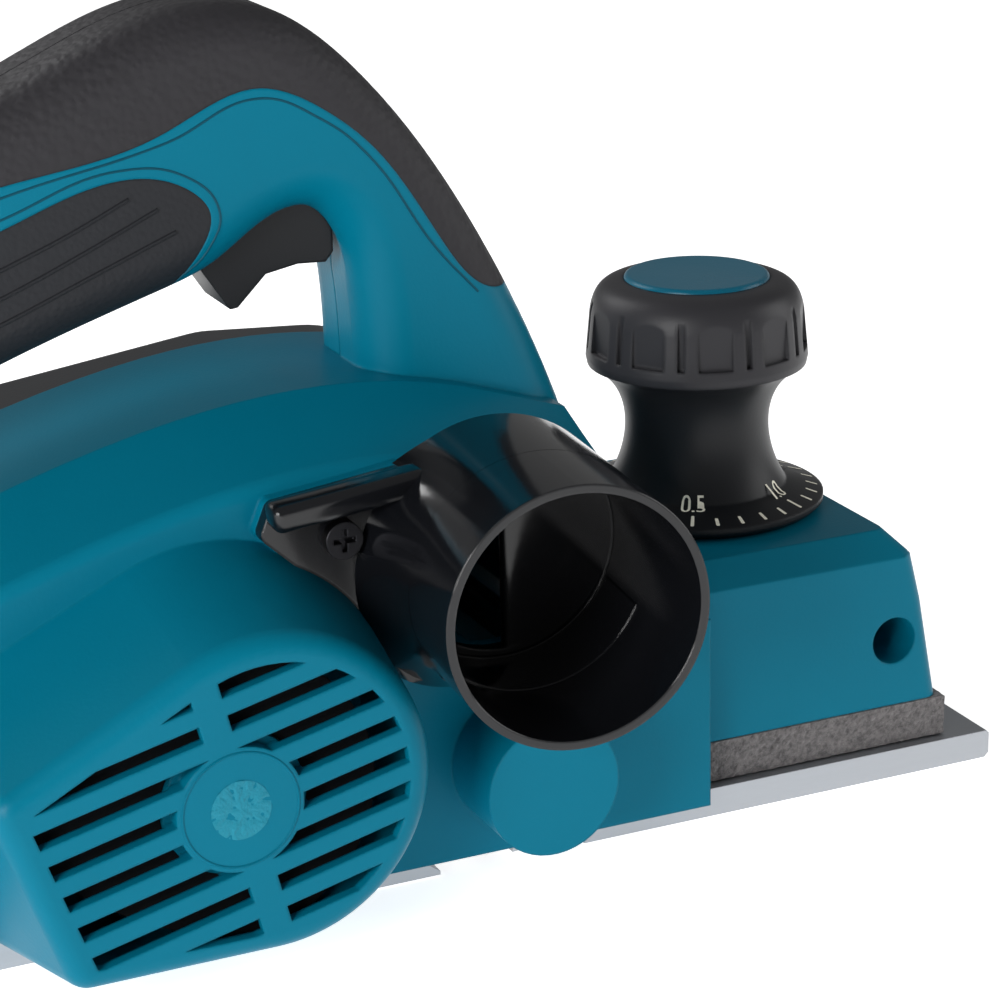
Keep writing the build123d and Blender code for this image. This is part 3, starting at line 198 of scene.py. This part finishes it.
for side, hand, shell in ((-1, "right", "main_housing"), (1, "left", "handle_cover")):
    for line_name, bends in (("top_groove", TOP_GROOVE), ("insert_groove", INSERT_GROOVE)):
        moulded_line(
            f"{line_name}_{hand}", bends, side, shell, GROOVE_RADIUS, painted_groove_shade
        )
    for count, rib in enumerate(RIBS, 1):
        insert = f"grip_insert_{hand}"
        moulded_line(
            f"insert_rib_{hand}_{count}", rib, side, insert, RIB_RADIUS, insert_rubber
        )

# ---- Trigger, switch, lock button and cable gland ----
# The trigger is a black nylon lever on a steel pin, satin where fingers rub it. The switch
# box and the lock button are the same plastic, and the gland is rubber.
black_nylon = moulded(
    "black_nylon", (0.010, 0.011, 0.013), (0.016, 0.017, 0.019), 0.34, 1300, 0.00003, 0.0008,
)
gland_rubber = moulded(
    "gland_rubber", (0.018, 0.018, 0.02), (0.026, 0.026, 0.028), 0.6, 1200, 0.00005, 0.0006,
)
finish_nodes(black_nylon, "trigger", "switch_body", "lock_button", "fan")
finish_nodes(gland_rubber, "cord_gland")

# ---- Chip nozzle ----
# A polished black ABS elbow that carries the chips out to the right, screwed to the housing by
# its flange. It shines more than any other piece.
polished_black = moulded(
    "polished_black", (0.004, 0.0045, 0.006), (0.006, 0.0065, 0.008), 0.12, 260, 0.00002, 0.0007, 0.04, 0.5,
)
finish_nodes(polished_black, "chip_nozzle")

# ---- Depth knob ----
# A charcoal rubber-like grip on a black moulded neck and dial, with a blue-green disc on top.
# The knob turns the spindle, which raises and lowers the front base.
knob_rubber = moulded(
    "knob_rubber", (0.024, 0.024, 0.027), (0.032, 0.031, 0.035), 0.44, 1400, 0.00003, 0.0011,
)
dial_plastic = moulded(
    "dial_plastic", (0.008, 0.009, 0.011), (0.012, 0.013, 0.015), 0.4, 1400, 0.00003, 0.0008,
)
cap_plastic = moulded(
    "cap_plastic", (0.0006, 0.1, 0.165), (0.0008, 0.112, 0.18), 0.3, 1500, 0.00003, 0.0008,
)
finish_nodes(knob_rubber, "knob_grip")
finish_nodes(dial_plastic, "knob_dial")
finish_nodes(cap_plastic, "knob_cap")

# ---- Soles and cutter drum ----
# Both soles are aluminium, milled flat below and sawn at the sides. The drum is a cast
# aluminium block with two ground blades, each held by a steel clamp and three bolts.


def metal(name, colour, roughness, stretch, scale, depth, edge=0.0003):
    """Machined or drawn metal with fine lines along one direction."""
    material = bpy.data.materials.new(name)
    material.use_nodes = True
    tree = material.node_tree
    shader = tree.nodes["Principled BSDF"]
    shader.inputs["Metallic"].default_value = 1.0
    place = tree.nodes.new("ShaderNodeTexCoord")
    mapping = tree.nodes.new("ShaderNodeMapping")
    mapping.inputs["Scale"].default_value = stretch
    lines = tree.nodes.new("ShaderNodeTexNoise")
    lines.inputs["Scale"].default_value = scale
    lines.inputs["Detail"].default_value = 5
    spread = tree.nodes.new("ShaderNodeMapRange")
    spread.inputs["To Min"].default_value = roughness - 0.08
    spread.inputs["To Max"].default_value = roughness + 0.12
    tint = tree.nodes.new("ShaderNodeMix")
    tint.data_type = "RGBA"
    tint.inputs["A"].default_value = (*(c * 0.86 for c in colour), 1)
    tint.inputs["B"].default_value = (*colour, 1)
    soft_edge = tree.nodes.new("ShaderNodeBevel")
    soft_edge.samples = 4
    soft_edge.inputs["Radius"].default_value = edge
    bump = tree.nodes.new("ShaderNodeBump")
    bump.inputs["Distance"].default_value = depth
    bump.inputs["Strength"].default_value = 0.5
    link = tree.links.new
    link(place.outputs["Object"], mapping.inputs["Vector"])
    link(mapping.outputs["Vector"], lines.inputs["Vector"])
    link(lines.outputs["Fac"], spread.inputs["Value"])
    link(lines.outputs["Fac"], tint.inputs["Factor"])
    link(tint.outputs["Result"], shader.inputs["Base Color"])
    link(spread.outputs["Result"], shader.inputs["Roughness"])
    link(lines.outputs["Fac"], bump.inputs["Height"])
    link(soft_edge.outputs["Normal"], bump.inputs["Normal"])
    link(bump.outputs["Normal"], shader.inputs["Normal"])
    return material


sole_aluminium = metal("sole_aluminium", (0.47, 0.49, 0.52), 0.42, (0.15, 1, 1), 600, 0.00004)
drum_aluminium = metal("drum_aluminium", (0.55, 0.56, 0.58), 0.45, (1, 0.1, 1), 500, 0.00005)
blade_steel = metal("blade_steel", (0.72, 0.72, 0.73), 0.22, (1, 0.05, 1), 900, 0.00002)
clamp_steel = metal("clamp_steel", (0.4, 0.4, 0.41), 0.36, (1, 0.2, 1), 700, 0.00003)
finish_nodes(sole_aluminium, "front_base", "rear_base")
finish_nodes(drum_aluminium, "drum_block", "motor_pulley", "drum_pulley", "bearing_bracket")
finish_nodes(blade_steel, "cutter_blade_1", "cutter_blade_2")
finish_nodes(clamp_steel, "blade_clamp_1", "blade_clamp_2", "drum_shaft", "motor_shaft")
finish_nodes(clamp_steel, "guide_posts", "trigger_pin")

# ---- Screws, bearings and the turning parts inside ----
# Black-zinc cross-head screws hold the plastic pieces and bright zinc ones the metal. Inside
# are ball bearings, a laminated motor with enamelled copper, and a brass nut on the spindle.
black_screw = metal("black_screw", (0.045, 0.045, 0.05), 0.32, (1, 1, 1), 900, 0.00002, 0.0004)
bright_steel = metal("bright_steel", (0.66, 0.67, 0.68), 0.24, (1, 1, 1), 500, 0.00001)
laminate = metal("laminate", (0.3, 0.3, 0.32), 0.5, (0.02, 1, 0.02), 1800, 0.0001)
copper_wire = metal("copper_wire", (0.7, 0.3, 0.14), 0.3, (0.1, 1, 1), 900, 0.0002)
turned_brass = metal("turned_brass", (0.78, 0.58, 0.25), 0.3, (1, 1, 0.1), 700, 0.00002)
carbon = moulded("carbon", (0.02, 0.02, 0.022), (0.035, 0.035, 0.037), 0.55, 1800, 0.00005, 0.0003)
finish_nodes(black_screw, "handle_screws", "clamp_bolts", "belt_cover_screws", "nozzle_screw")
finish_nodes(bright_steel, "rear_base_screws", "bracket_screws", "knob_spindle", "thrust_collar")
finish_nodes(bright_steel, "drum_bearing_right", "drum_bearing_left")
finish_nodes(bright_steel, "motor_bearing_right", "motor_bearing_left")
finish_nodes(laminate, "armature_core", "stator_core")
finish_nodes(copper_wire, "armature_windings", "field_coils", "commutator")
finish_nodes(turned_brass, "spindle_nut", "brush_holders")
finish_nodes(carbon, "carbon_brushes")

# ---- Belt cover and belt ----
# A dark grey nylon cover closes the belt side with four screws. Under it a plain rubber belt
# runs from the motor's pulley to the drum's.
cover_plastic = moulded(
    "cover_plastic", (0.03, 0.031, 0.034), (0.038, 0.039, 0.042), 0.42, 1400, 0.00005, 0.0012,
)
belt_rubber = moulded(
    "belt_rubber", (0.012, 0.012, 0.013), (0.02, 0.02, 0.021), 0.65, 1200, 0.00008, 0.0004,
)
finish_nodes(cover_plastic, "belt_cover")
finish_nodes(belt_rubber, "drive_belt")

# ---- Nozzle flare, rim bar and vane ----
# The nozzle's tube swells where it meets its flange, a thick bar stiffens the flange's upper
# edge above the screw, and a low curved vane along the bore's floor turns the chips.
NOZZLE_YAW = math.radians(5)
NOZZLE_ROOT = Vector((0.091, -0.0467, 0.0685))
NOZZLE_OUT = Vector((-math.sin(NOZZLE_YAW), -math.cos(NOZZLE_YAW), 0))
TUBE_RADIUS = 0.0245
FLARE_STEPS = 8
FLARE_LENGTH = 0.024
FLARE_SWELL = 0.0085
FLARE_SIDE = Vector((-0.88, 0, -0.48))
BAR_AT = (0.0600, -0.0505, 0.0832)
BAR_SIZE = (0.030, 0.0065, 0.0052)
VANE_RADIUS = 0.0226
VANE_LENGTH = 0.016
VANE_THICKNESS = 0.0024
VANE_TOP = (0.091, -0.0467, 0.0555)


def settle(piece, name, material, body):
    """Puts a new piece's place in its mesh, names it and says what it is made of and rides on."""
    nothing_selected()
    piece.select_set(True)
    bpy.context.view_layer.objects.active = piece
    bpy.ops.object.transform_apply(location=True, rotation=True, scale=True)
    piece.name = name
    piece.data.materials.clear()
    piece.data.materials.append(material)
    bpy.ops.object.shade_smooth_by_angle(angle=math.radians(40))
    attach(piece, body)
    return piece


nothing_selected()
bpy.ops.mesh.primitive_circle_add(vertices=96, radius=TUBE_RADIUS, fill_type="NOTHING", location=(0, 0, 0))
flare = bpy.context.object
bpy.ops.object.mode_set(mode="EDIT")
for step in range(1, FLARE_STEPS + 1):
    bpy.ops.mesh.select_all(action="DESELECT")
    bpy.ops.object.mode_set(mode="OBJECT")
    last = max(vertex.co.z for vertex in flare.data.vertices)
    for vertex in flare.data.vertices:
        vertex.select = vertex.co.z > last - 1e-6
    bpy.ops.object.mode_set(mode="EDIT")
    share = step / FLARE_STEPS
    before = (step - 1) / FLARE_STEPS
    grow = (TUBE_RADIUS + FLARE_SWELL * share**2.2) / (TUBE_RADIUS + FLARE_SWELL * before**2.2)
    bpy.ops.mesh.extrude_region_move(TRANSFORM_OT_translate={"value": (0, 0, FLARE_LENGTH / FLARE_STEPS)})
    bpy.ops.transform.resize(value=(grow, grow, 1))
bpy.ops.mesh.select_all(action="SELECT")
bpy.ops.mesh.normals_make_consistent(inside=False)
bpy.ops.object.mode_set(mode="OBJECT")
flare_turn = (-NOZZLE_OUT).to_track_quat("Z", "Y").to_matrix()
for vertex in flare.data.vertices:
    radius = math.hypot(vertex.co.x, vertex.co.y)
    spoke = flare_turn @ Vector((vertex.co.x, vertex.co.y, 0)).normalized()
    towards = max(0.0, spoke.dot(FLARE_SIDE)) ** 1.5
    kept = (TUBE_RADIUS + 0.00003 + (radius - TUBE_RADIUS) * towards) / radius
    vertex.co.x *= kept
    vertex.co.y *= kept
flare_front = NOZZLE_ROOT + NOZZLE_OUT * (FLARE_LENGTH - 0.0016)
flare.matrix_world = Matrix.Translation(flare_front) @ flare_turn.to_4x4()
settle(flare, "nozzle_flare", polished_black, "housing")

nothing_selected()
bpy.ops.mesh.primitive_cube_add(size=1, location=BAR_AT)
bar = bpy.context.object
bar.scale = BAR_SIZE
bar.rotation_euler = (0, math.radians(-6), 0)
bpy.ops.object.transform_apply(location=False, rotation=False, scale=True)
bpy.ops.object.mode_set(mode="EDIT")
bpy.ops.mesh.select_all(action="SELECT")
bpy.ops.mesh.bevel(offset=0.0016, segments=4, affect="EDGES")
bpy.ops.object.mode_set(mode="OBJECT")
settle(bar, "nozzle_rim_bar", polished_black, "housing")

nothing_selected()
bpy.ops.mesh.primitive_circle_add(vertices=96, radius=VANE_RADIUS, fill_type="NOTHING", location=(0, 0, 0))
vane = bpy.context.object
bpy.ops.object.mode_set(mode="EDIT")
bpy.ops.mesh.select_all(action="SELECT")
bpy.ops.mesh.extrude_region_move(TRANSFORM_OT_translate={"value": (0, 0, VANE_LENGTH)})
bpy.ops.object.mode_set(mode="OBJECT")
vane_turn = NOZZLE_OUT.to_track_quat("Z", "Y").to_matrix().to_4x4()
vane.matrix_world = Matrix.Translation(NOZZLE_ROOT + NOZZLE_OUT * 0.002) @ vane_turn
bpy.ops.object.transform_apply(location=True, rotation=True, scale=True)
bpy.ops.object.mode_set(mode="EDIT")
bpy.ops.mesh.select_all(action="SELECT")
bpy.ops.mesh.bisect(plane_co=VANE_TOP, plane_no=(-0.2, 0, 1), clear_outer=True)
bpy.ops.object.mode_set(mode="OBJECT")
wall = vane.modifiers.new("wall", "SOLIDIFY")
wall.thickness = VANE_THICKNESS
wall.offset = -1
bpy.ops.object.modifier_apply(modifier="wall")
settle(vane, "nozzle_vane", polished_black, "housing")

# ---- Painted shade behind the vents, and gate mark at the motor end ----
# A near-black sheet behind the vent slots is painted shade: it stands for the dark seen through them. Where
# the mould's gate was, the middle of the vented face has a fine ring and a rough round patch.
MOTOR_MIDDLE = Vector((0.0297, 0, 0.0368))
VENT_SHADE_Y = -0.0672
VENT_SHADE_RADIUS = 0.0272
VENT_SHADE_BAND = 0.0137
GATE_RING_RADIUS = 0.0108
GATE_PATCH_RADIUS = 0.0056
VENT_FACE_Y = -0.072
# Near-black colour for the sheet: painted shade seen through the vent slots.
painted_vent_shade = moulded(
    "painted_vent_shade", (0.0035, 0.004, 0.005), (0.006, 0.0065, 0.008), 0.7, 1800, 0.0001, 0.0003,
)

nothing_selected()
bpy.ops.mesh.primitive_circle_add(vertices=64, radius=VENT_SHADE_RADIUS, fill_type="NGON", location=(0, 0, 0))
vent_shade_sheet = bpy.context.object
bpy.ops.object.mode_set(mode="EDIT")
bpy.ops.mesh.select_all(action="SELECT")
bpy.ops.mesh.inset(thickness=VENT_SHADE_BAND)
bpy.ops.mesh.delete(type="FACE")
bpy.ops.object.mode_set(mode="OBJECT")
for vertex in vent_shade_sheet.data.vertices:
    if vertex.co.x < 0 and vertex.co.length > 0.02:
        vertex.co.x *= 1.33
        vertex.co.y *= 1 - 0.25 * min(1, abs(vertex.co.x) / 0.027)
wall = vent_shade_sheet.modifiers.new("wall", "SOLIDIFY")
wall.thickness = 0.0008
bpy.ops.object.modifier_apply(modifier="wall")
vent_shade_sheet.matrix_world = (
    Matrix.Translation((MOTOR_MIDDLE.x, VENT_SHADE_Y, MOTOR_MIDDLE.z)) @ Matrix.Rotation(math.pi / 2, 4, "X")
)
settle(vent_shade_sheet, "painted_shade_sheet", painted_vent_shade, "housing")

nothing_selected()
bpy.ops.mesh.primitive_torus_add(
    major_radius=GATE_RING_RADIUS, minor_radius=0.0003, major_segments=72, minor_segments=8,
    location=(MOTOR_MIDDLE.x, VENT_FACE_Y + 0.0001, MOTOR_MIDDLE.z), rotation=(math.pi / 2, 0, 0),
)
settle(bpy.context.object, "gate_ring", shell_plastic, "housing")

nothing_selected()
bpy.ops.mesh.primitive_circle_add(
    vertices=40, radius=GATE_PATCH_RADIUS, fill_type="TRIFAN", location=(0, 0, 0)
)
patch = bpy.context.object
bpy.ops.object.mode_set(mode="EDIT")
bpy.ops.mesh.select_all(action="SELECT")
bpy.ops.mesh.subdivide(number_cuts=7)
bpy.ops.object.mode_set(mode="OBJECT")
chipped = bpy.data.textures.new("chipped", "CLOUDS")
chipped.noise_scale = 0.0012
rough = patch.modifiers.new("rough", "DISPLACE")
rough.texture = chipped
rough.strength = 0.0005
rough.mid_level = 0.45
bpy.ops.object.modifier_apply(modifier="rough")
patch.matrix_world = (
    Matrix.Translation((MOTOR_MIDDLE.x, VENT_FACE_Y - 0.00005, MOTOR_MIDDLE.z))
    @ Matrix.Rotation(math.pi / 2, 4, "X")
)
worn_plastic = moulded(
    "worn_plastic", (0.002, 0.16, 0.24), (0.01, 0.24, 0.33), 0.5, 2200, 0.0002, 0.0003,
)
settle(patch, "gate_patch", worn_plastic, "housing")

# ---- Dial marks ----
# Cream paint on the black dial: a tick for each tenth of a millimetre, a long one and a number
# for each half. The dial turns with the knob.
KNOB_AXIS = Vector((0.158, 0, 0))
TICK_RIM = 0.0254
PAINT_LIFT = 0.00005
paint = moulded("dial_paint", (0.95, 0.92, 0.76), (1.0, 0.97, 0.84), 0.5, 1500, 0.00001, 0.0001)


def wrapped_mark(mark, name, angle, foot_radius, foot_height, lean):
    """Wraps a flat mark round the knob's axis, foot outwards, and lays it on the dial."""
    for vertex in mark.data.vertices:
        u, v, w = vertex.co
        radius = foot_radius - v * math.cos(lean)
        turn = angle + u / foot_radius
        height = foot_height + v * math.sin(lean)
        vertex.co = KNOB_AXIS + Vector((radius * math.cos(turn), radius * math.sin(turn), height))
    mark.name = name
    lay = mark.modifiers.new("lay", "SHRINKWRAP")
    lay.target = nodes["knob_dial"]
    lay.wrap_method = "NEAREST_SURFACEPOINT"
    lay.wrap_mode = "ABOVE_SURFACE"
    lay.offset = PAINT_LIFT
    nothing_selected()
    mark.select_set(True)
    bpy.context.view_layer.objects.active = mark
    bpy.ops.object.modifier_apply(modifier="lay")
    mark.data.materials.clear()
    mark.data.materials.append(paint)
    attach(mark, "knob")


def flat_text(words, size):
    """A word as a flat mesh, its foot at y = 0 and its middle at x = 0."""
    nothing_selected()
    bpy.ops.object.text_add(location=(0, 0, 0))
    word = bpy.context.object
    word.data.body = words
    word.data.size = size
    word.data.align_x = "CENTER"
    word.data.offset = size * 0.012
    bpy.ops.object.convert(target="MESH")
    return bpy.context.object


ticks = []
for step in range(26):
    on_half = step % 5 == 0
    length = 0.0036 if on_half else 0.0026
    nothing_selected()
    bpy.ops.mesh.primitive_plane_add(size=1, location=(0, 0, 0))
    tick = bpy.context.object
    for vertex in tick.data.vertices:
        vertex.co = Vector((vertex.co.x * 0.00075, (vertex.co.y + 0.5) * length, 0))
    bpy.ops.object.mode_set(mode="EDIT")
    bpy.ops.mesh.select_all(action="SELECT")
    bpy.ops.mesh.bevel(offset=0.00025, segments=3, affect="VERTICES")
    bpy.ops.object.mode_set(mode="OBJECT")
    angle = math.pi + math.radians(12 * step)
    wrapped_mark(tick, f"dial_tick_{step}", angle, TICK_RIM, 0.0552, math.radians(23))
    if on_half:
        number = flat_text(("0", "0.5", "1.0", "1.5", "2.0", "2.5")[step // 5], 0.0046)
        wrapped_mark(number, f"dial_number_{step // 5}", angle, 0.0208, 0.0572, math.radians(55))


def own_copy(node, name):
    """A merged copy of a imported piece, for a piece that has to give way."""
    nothing_selected()
    copy = nodes[node].copy()
    copy.data = nodes[node].data.copy()
    copy.name = name
    copy.parent = None
    for key in list(copy.keys()):
        if key.startswith("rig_"):
            del copy[key]
    bpy.context.collection.objects.link(copy)
    copy.select_set(True)
    bpy.context.view_layer.objects.active = copy
    bpy.ops.object.mode_set(mode="EDIT")
    bpy.ops.mesh.select_all(action="SELECT")
    bpy.ops.mesh.remove_doubles(threshold=0.000005)
    bpy.ops.object.mode_set(mode="OBJECT")
    return copy


felt = own_copy("felt_seal", "felt_strip")
remesh = felt.modifiers.new("mat", "REMESH")
remesh.mode = "VOXEL"
remesh.voxel_size = 0.0007
bpy.ops.object.modifier_apply(modifier="mat")
fuzz = bpy.data.textures.new("fuzz", "CLOUDS")
fuzz.noise_scale = 0.0011
rough_up = felt.modifiers.new("fuzz", "DISPLACE")
rough_up.texture = fuzz
rough_up.strength = 0.0005
rough_up.mid_level = 0.62
bpy.ops.object.modifier_apply(modifier="fuzz")
felt_fibre = bpy.data.materials.new("felt_fibre")
felt_fibre.use_nodes = True
felt_tree = felt_fibre.node_tree
felt_shader = felt_tree.nodes["Principled BSDF"]
felt_shader.inputs["Roughness"].default_value = 0.95
felt_shader.inputs["Sheen Weight"].default_value = 0.4
felt_place = felt_tree.nodes.new("ShaderNodeTexCoord")
fibres = felt_tree.nodes.new("ShaderNodeTexNoise")
fibres.inputs["Scale"].default_value = 900
fibres.inputs["Detail"].default_value = 8
fibres.inputs["Roughness"].default_value = 0.7
fibre_tints = felt_tree.nodes.new("ShaderNodeValToRGB")
fibre_tints.color_ramp.elements[0].position = 0.35
fibre_tints.color_ramp.elements[0].color = (0.05, 0.046, 0.047, 1)
fibre_tints.color_ramp.elements[1].position = 0.68
fibre_tints.color_ramp.elements[1].color = (0.2, 0.185, 0.185, 1)
fibre_bump = felt_tree.nodes.new("ShaderNodeBump")
fibre_bump.inputs["Distance"].default_value = 0.0005
felt_tree.links.new(felt_place.outputs["Object"], fibres.inputs["Vector"])
felt_tree.links.new(fibres.outputs["Fac"], fibre_tints.inputs["Fac"])
felt_tree.links.new(fibre_tints.outputs["Color"], felt_shader.inputs["Base Color"])
felt_tree.links.new(fibres.outputs["Fac"], fibre_bump.inputs["Height"])
felt_tree.links.new(fibre_bump.outputs["Normal"], felt_shader.inputs["Normal"])
felt.data.materials.clear()
felt.data.materials.append(felt_fibre)
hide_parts("felt_seal")
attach(felt, "housing")
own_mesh(felt)

# ---- Springs ----
# Music-wire coils: two round the front base's posts, one behind the trigger and one behind
# the lock button.
for node, joint, axis, anchor, keep in (
    ("base_springs", "front_sole_lift", (0, 0, 1), (0, 0, 0.0238), 0.85),
    ("trigger_spring", "trigger_pull", (0, 0, 1), (0, 0, 0.1313), 0.8),
    ("lock_spring", "lock_press", (0, 1, 0), (0, 0.005, 0), 0.3),
):
    spring = own_copy(node, node + "_wire")
    spring.data.materials.clear()
    spring.data.materials.append(bright_steel)
    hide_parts(node)
    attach(spring, "housing")
    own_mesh(spring)

# ---- Stand, light and view ----
# A pale floor under the soles, a large soft light from the left front, and weaker ones behind
# and to the right.
FLOOR_HALF = 3.0
nothing_selected()
bpy.ops.mesh.primitive_plane_add(size=2 * FLOOR_HALF, location=(0.3, 0.6, -0.0004))
floor = bpy.context.object
floor.name = "floor"
floor_paint = bpy.data.materials.new("floor_paint")
floor_paint.use_nodes = True
floor_shader = floor_paint.node_tree.nodes["Principled BSDF"]
floor_shader.inputs["Base Color"].default_value = (0.92, 0.92, 0.92, 1)
floor_shader.inputs["Roughness"].default_value = 0.9
floor_shader.inputs["Emission Color"].default_value = (1, 1, 1, 1)
floor_shader.inputs["Emission Strength"].default_value = 0.8
floor.data.materials.append(floor_paint)

world = bpy.context.scene.world or bpy.data.worlds.new("studio")
bpy.context.scene.world = world
world.use_nodes = True
world.node_tree.nodes["Background"].inputs["Color"].default_value = (1, 1, 1, 1)
world.node_tree.nodes["Background"].inputs["Strength"].default_value = 0.22
bpy.context.scene.view_settings.view_transform = "Standard"

MIDDLE = Vector((0.07, 0, 0.07))
for name, place, size, power in (
    ("key", (-0.75, -0.6, 0.35), 0.45, 8.5),
    ("back", (-0.35, 0.6, 0.6), 0.5, 3.5),
    ("right", (0.9, -0.25, 0.35), 0.5, 2.0),
):
    nothing_selected()
    bpy.ops.object.light_add(type="AREA", location=place)
    lamp = bpy.context.object
    lamp.name = name
    lamp.data.energy = power
    lamp.data.size = size
    lamp.rotation_euler = (MIDDLE - Vector(place)).to_track_quat("-Z", "Y").to_euler()

VIEW_FROM = Vector((-0.1237, -0.5292, 0.2552))
VIEW_YAW, VIEW_PITCH, VIEW_ROLL = (math.radians(a) for a in (24.07, 18.67, -1.26))
forward = Vector((
    math.sin(VIEW_YAW) * math.cos(VIEW_PITCH),
    math.cos(VIEW_YAW) * math.cos(VIEW_PITCH),
    -math.sin(VIEW_PITCH),
))
level_right = Vector((math.cos(VIEW_YAW), -math.sin(VIEW_YAW), 0))
level_up = level_right.cross(forward)
right = level_right * math.cos(VIEW_ROLL) + level_up * math.sin(VIEW_ROLL)
up = level_up * math.cos(VIEW_ROLL) - level_right * math.sin(VIEW_ROLL)
bpy.ops.object.camera_add()
camera = bpy.context.object
camera.data.lens = 108
camera.data.sensor_width = 36
camera.data.clip_start = 0.01
camera.matrix_world = Matrix.Translation(VIEW_FROM) @ Matrix((right, up, -forward)).transposed().to_4x4()
bpy.context.scene.camera = camera
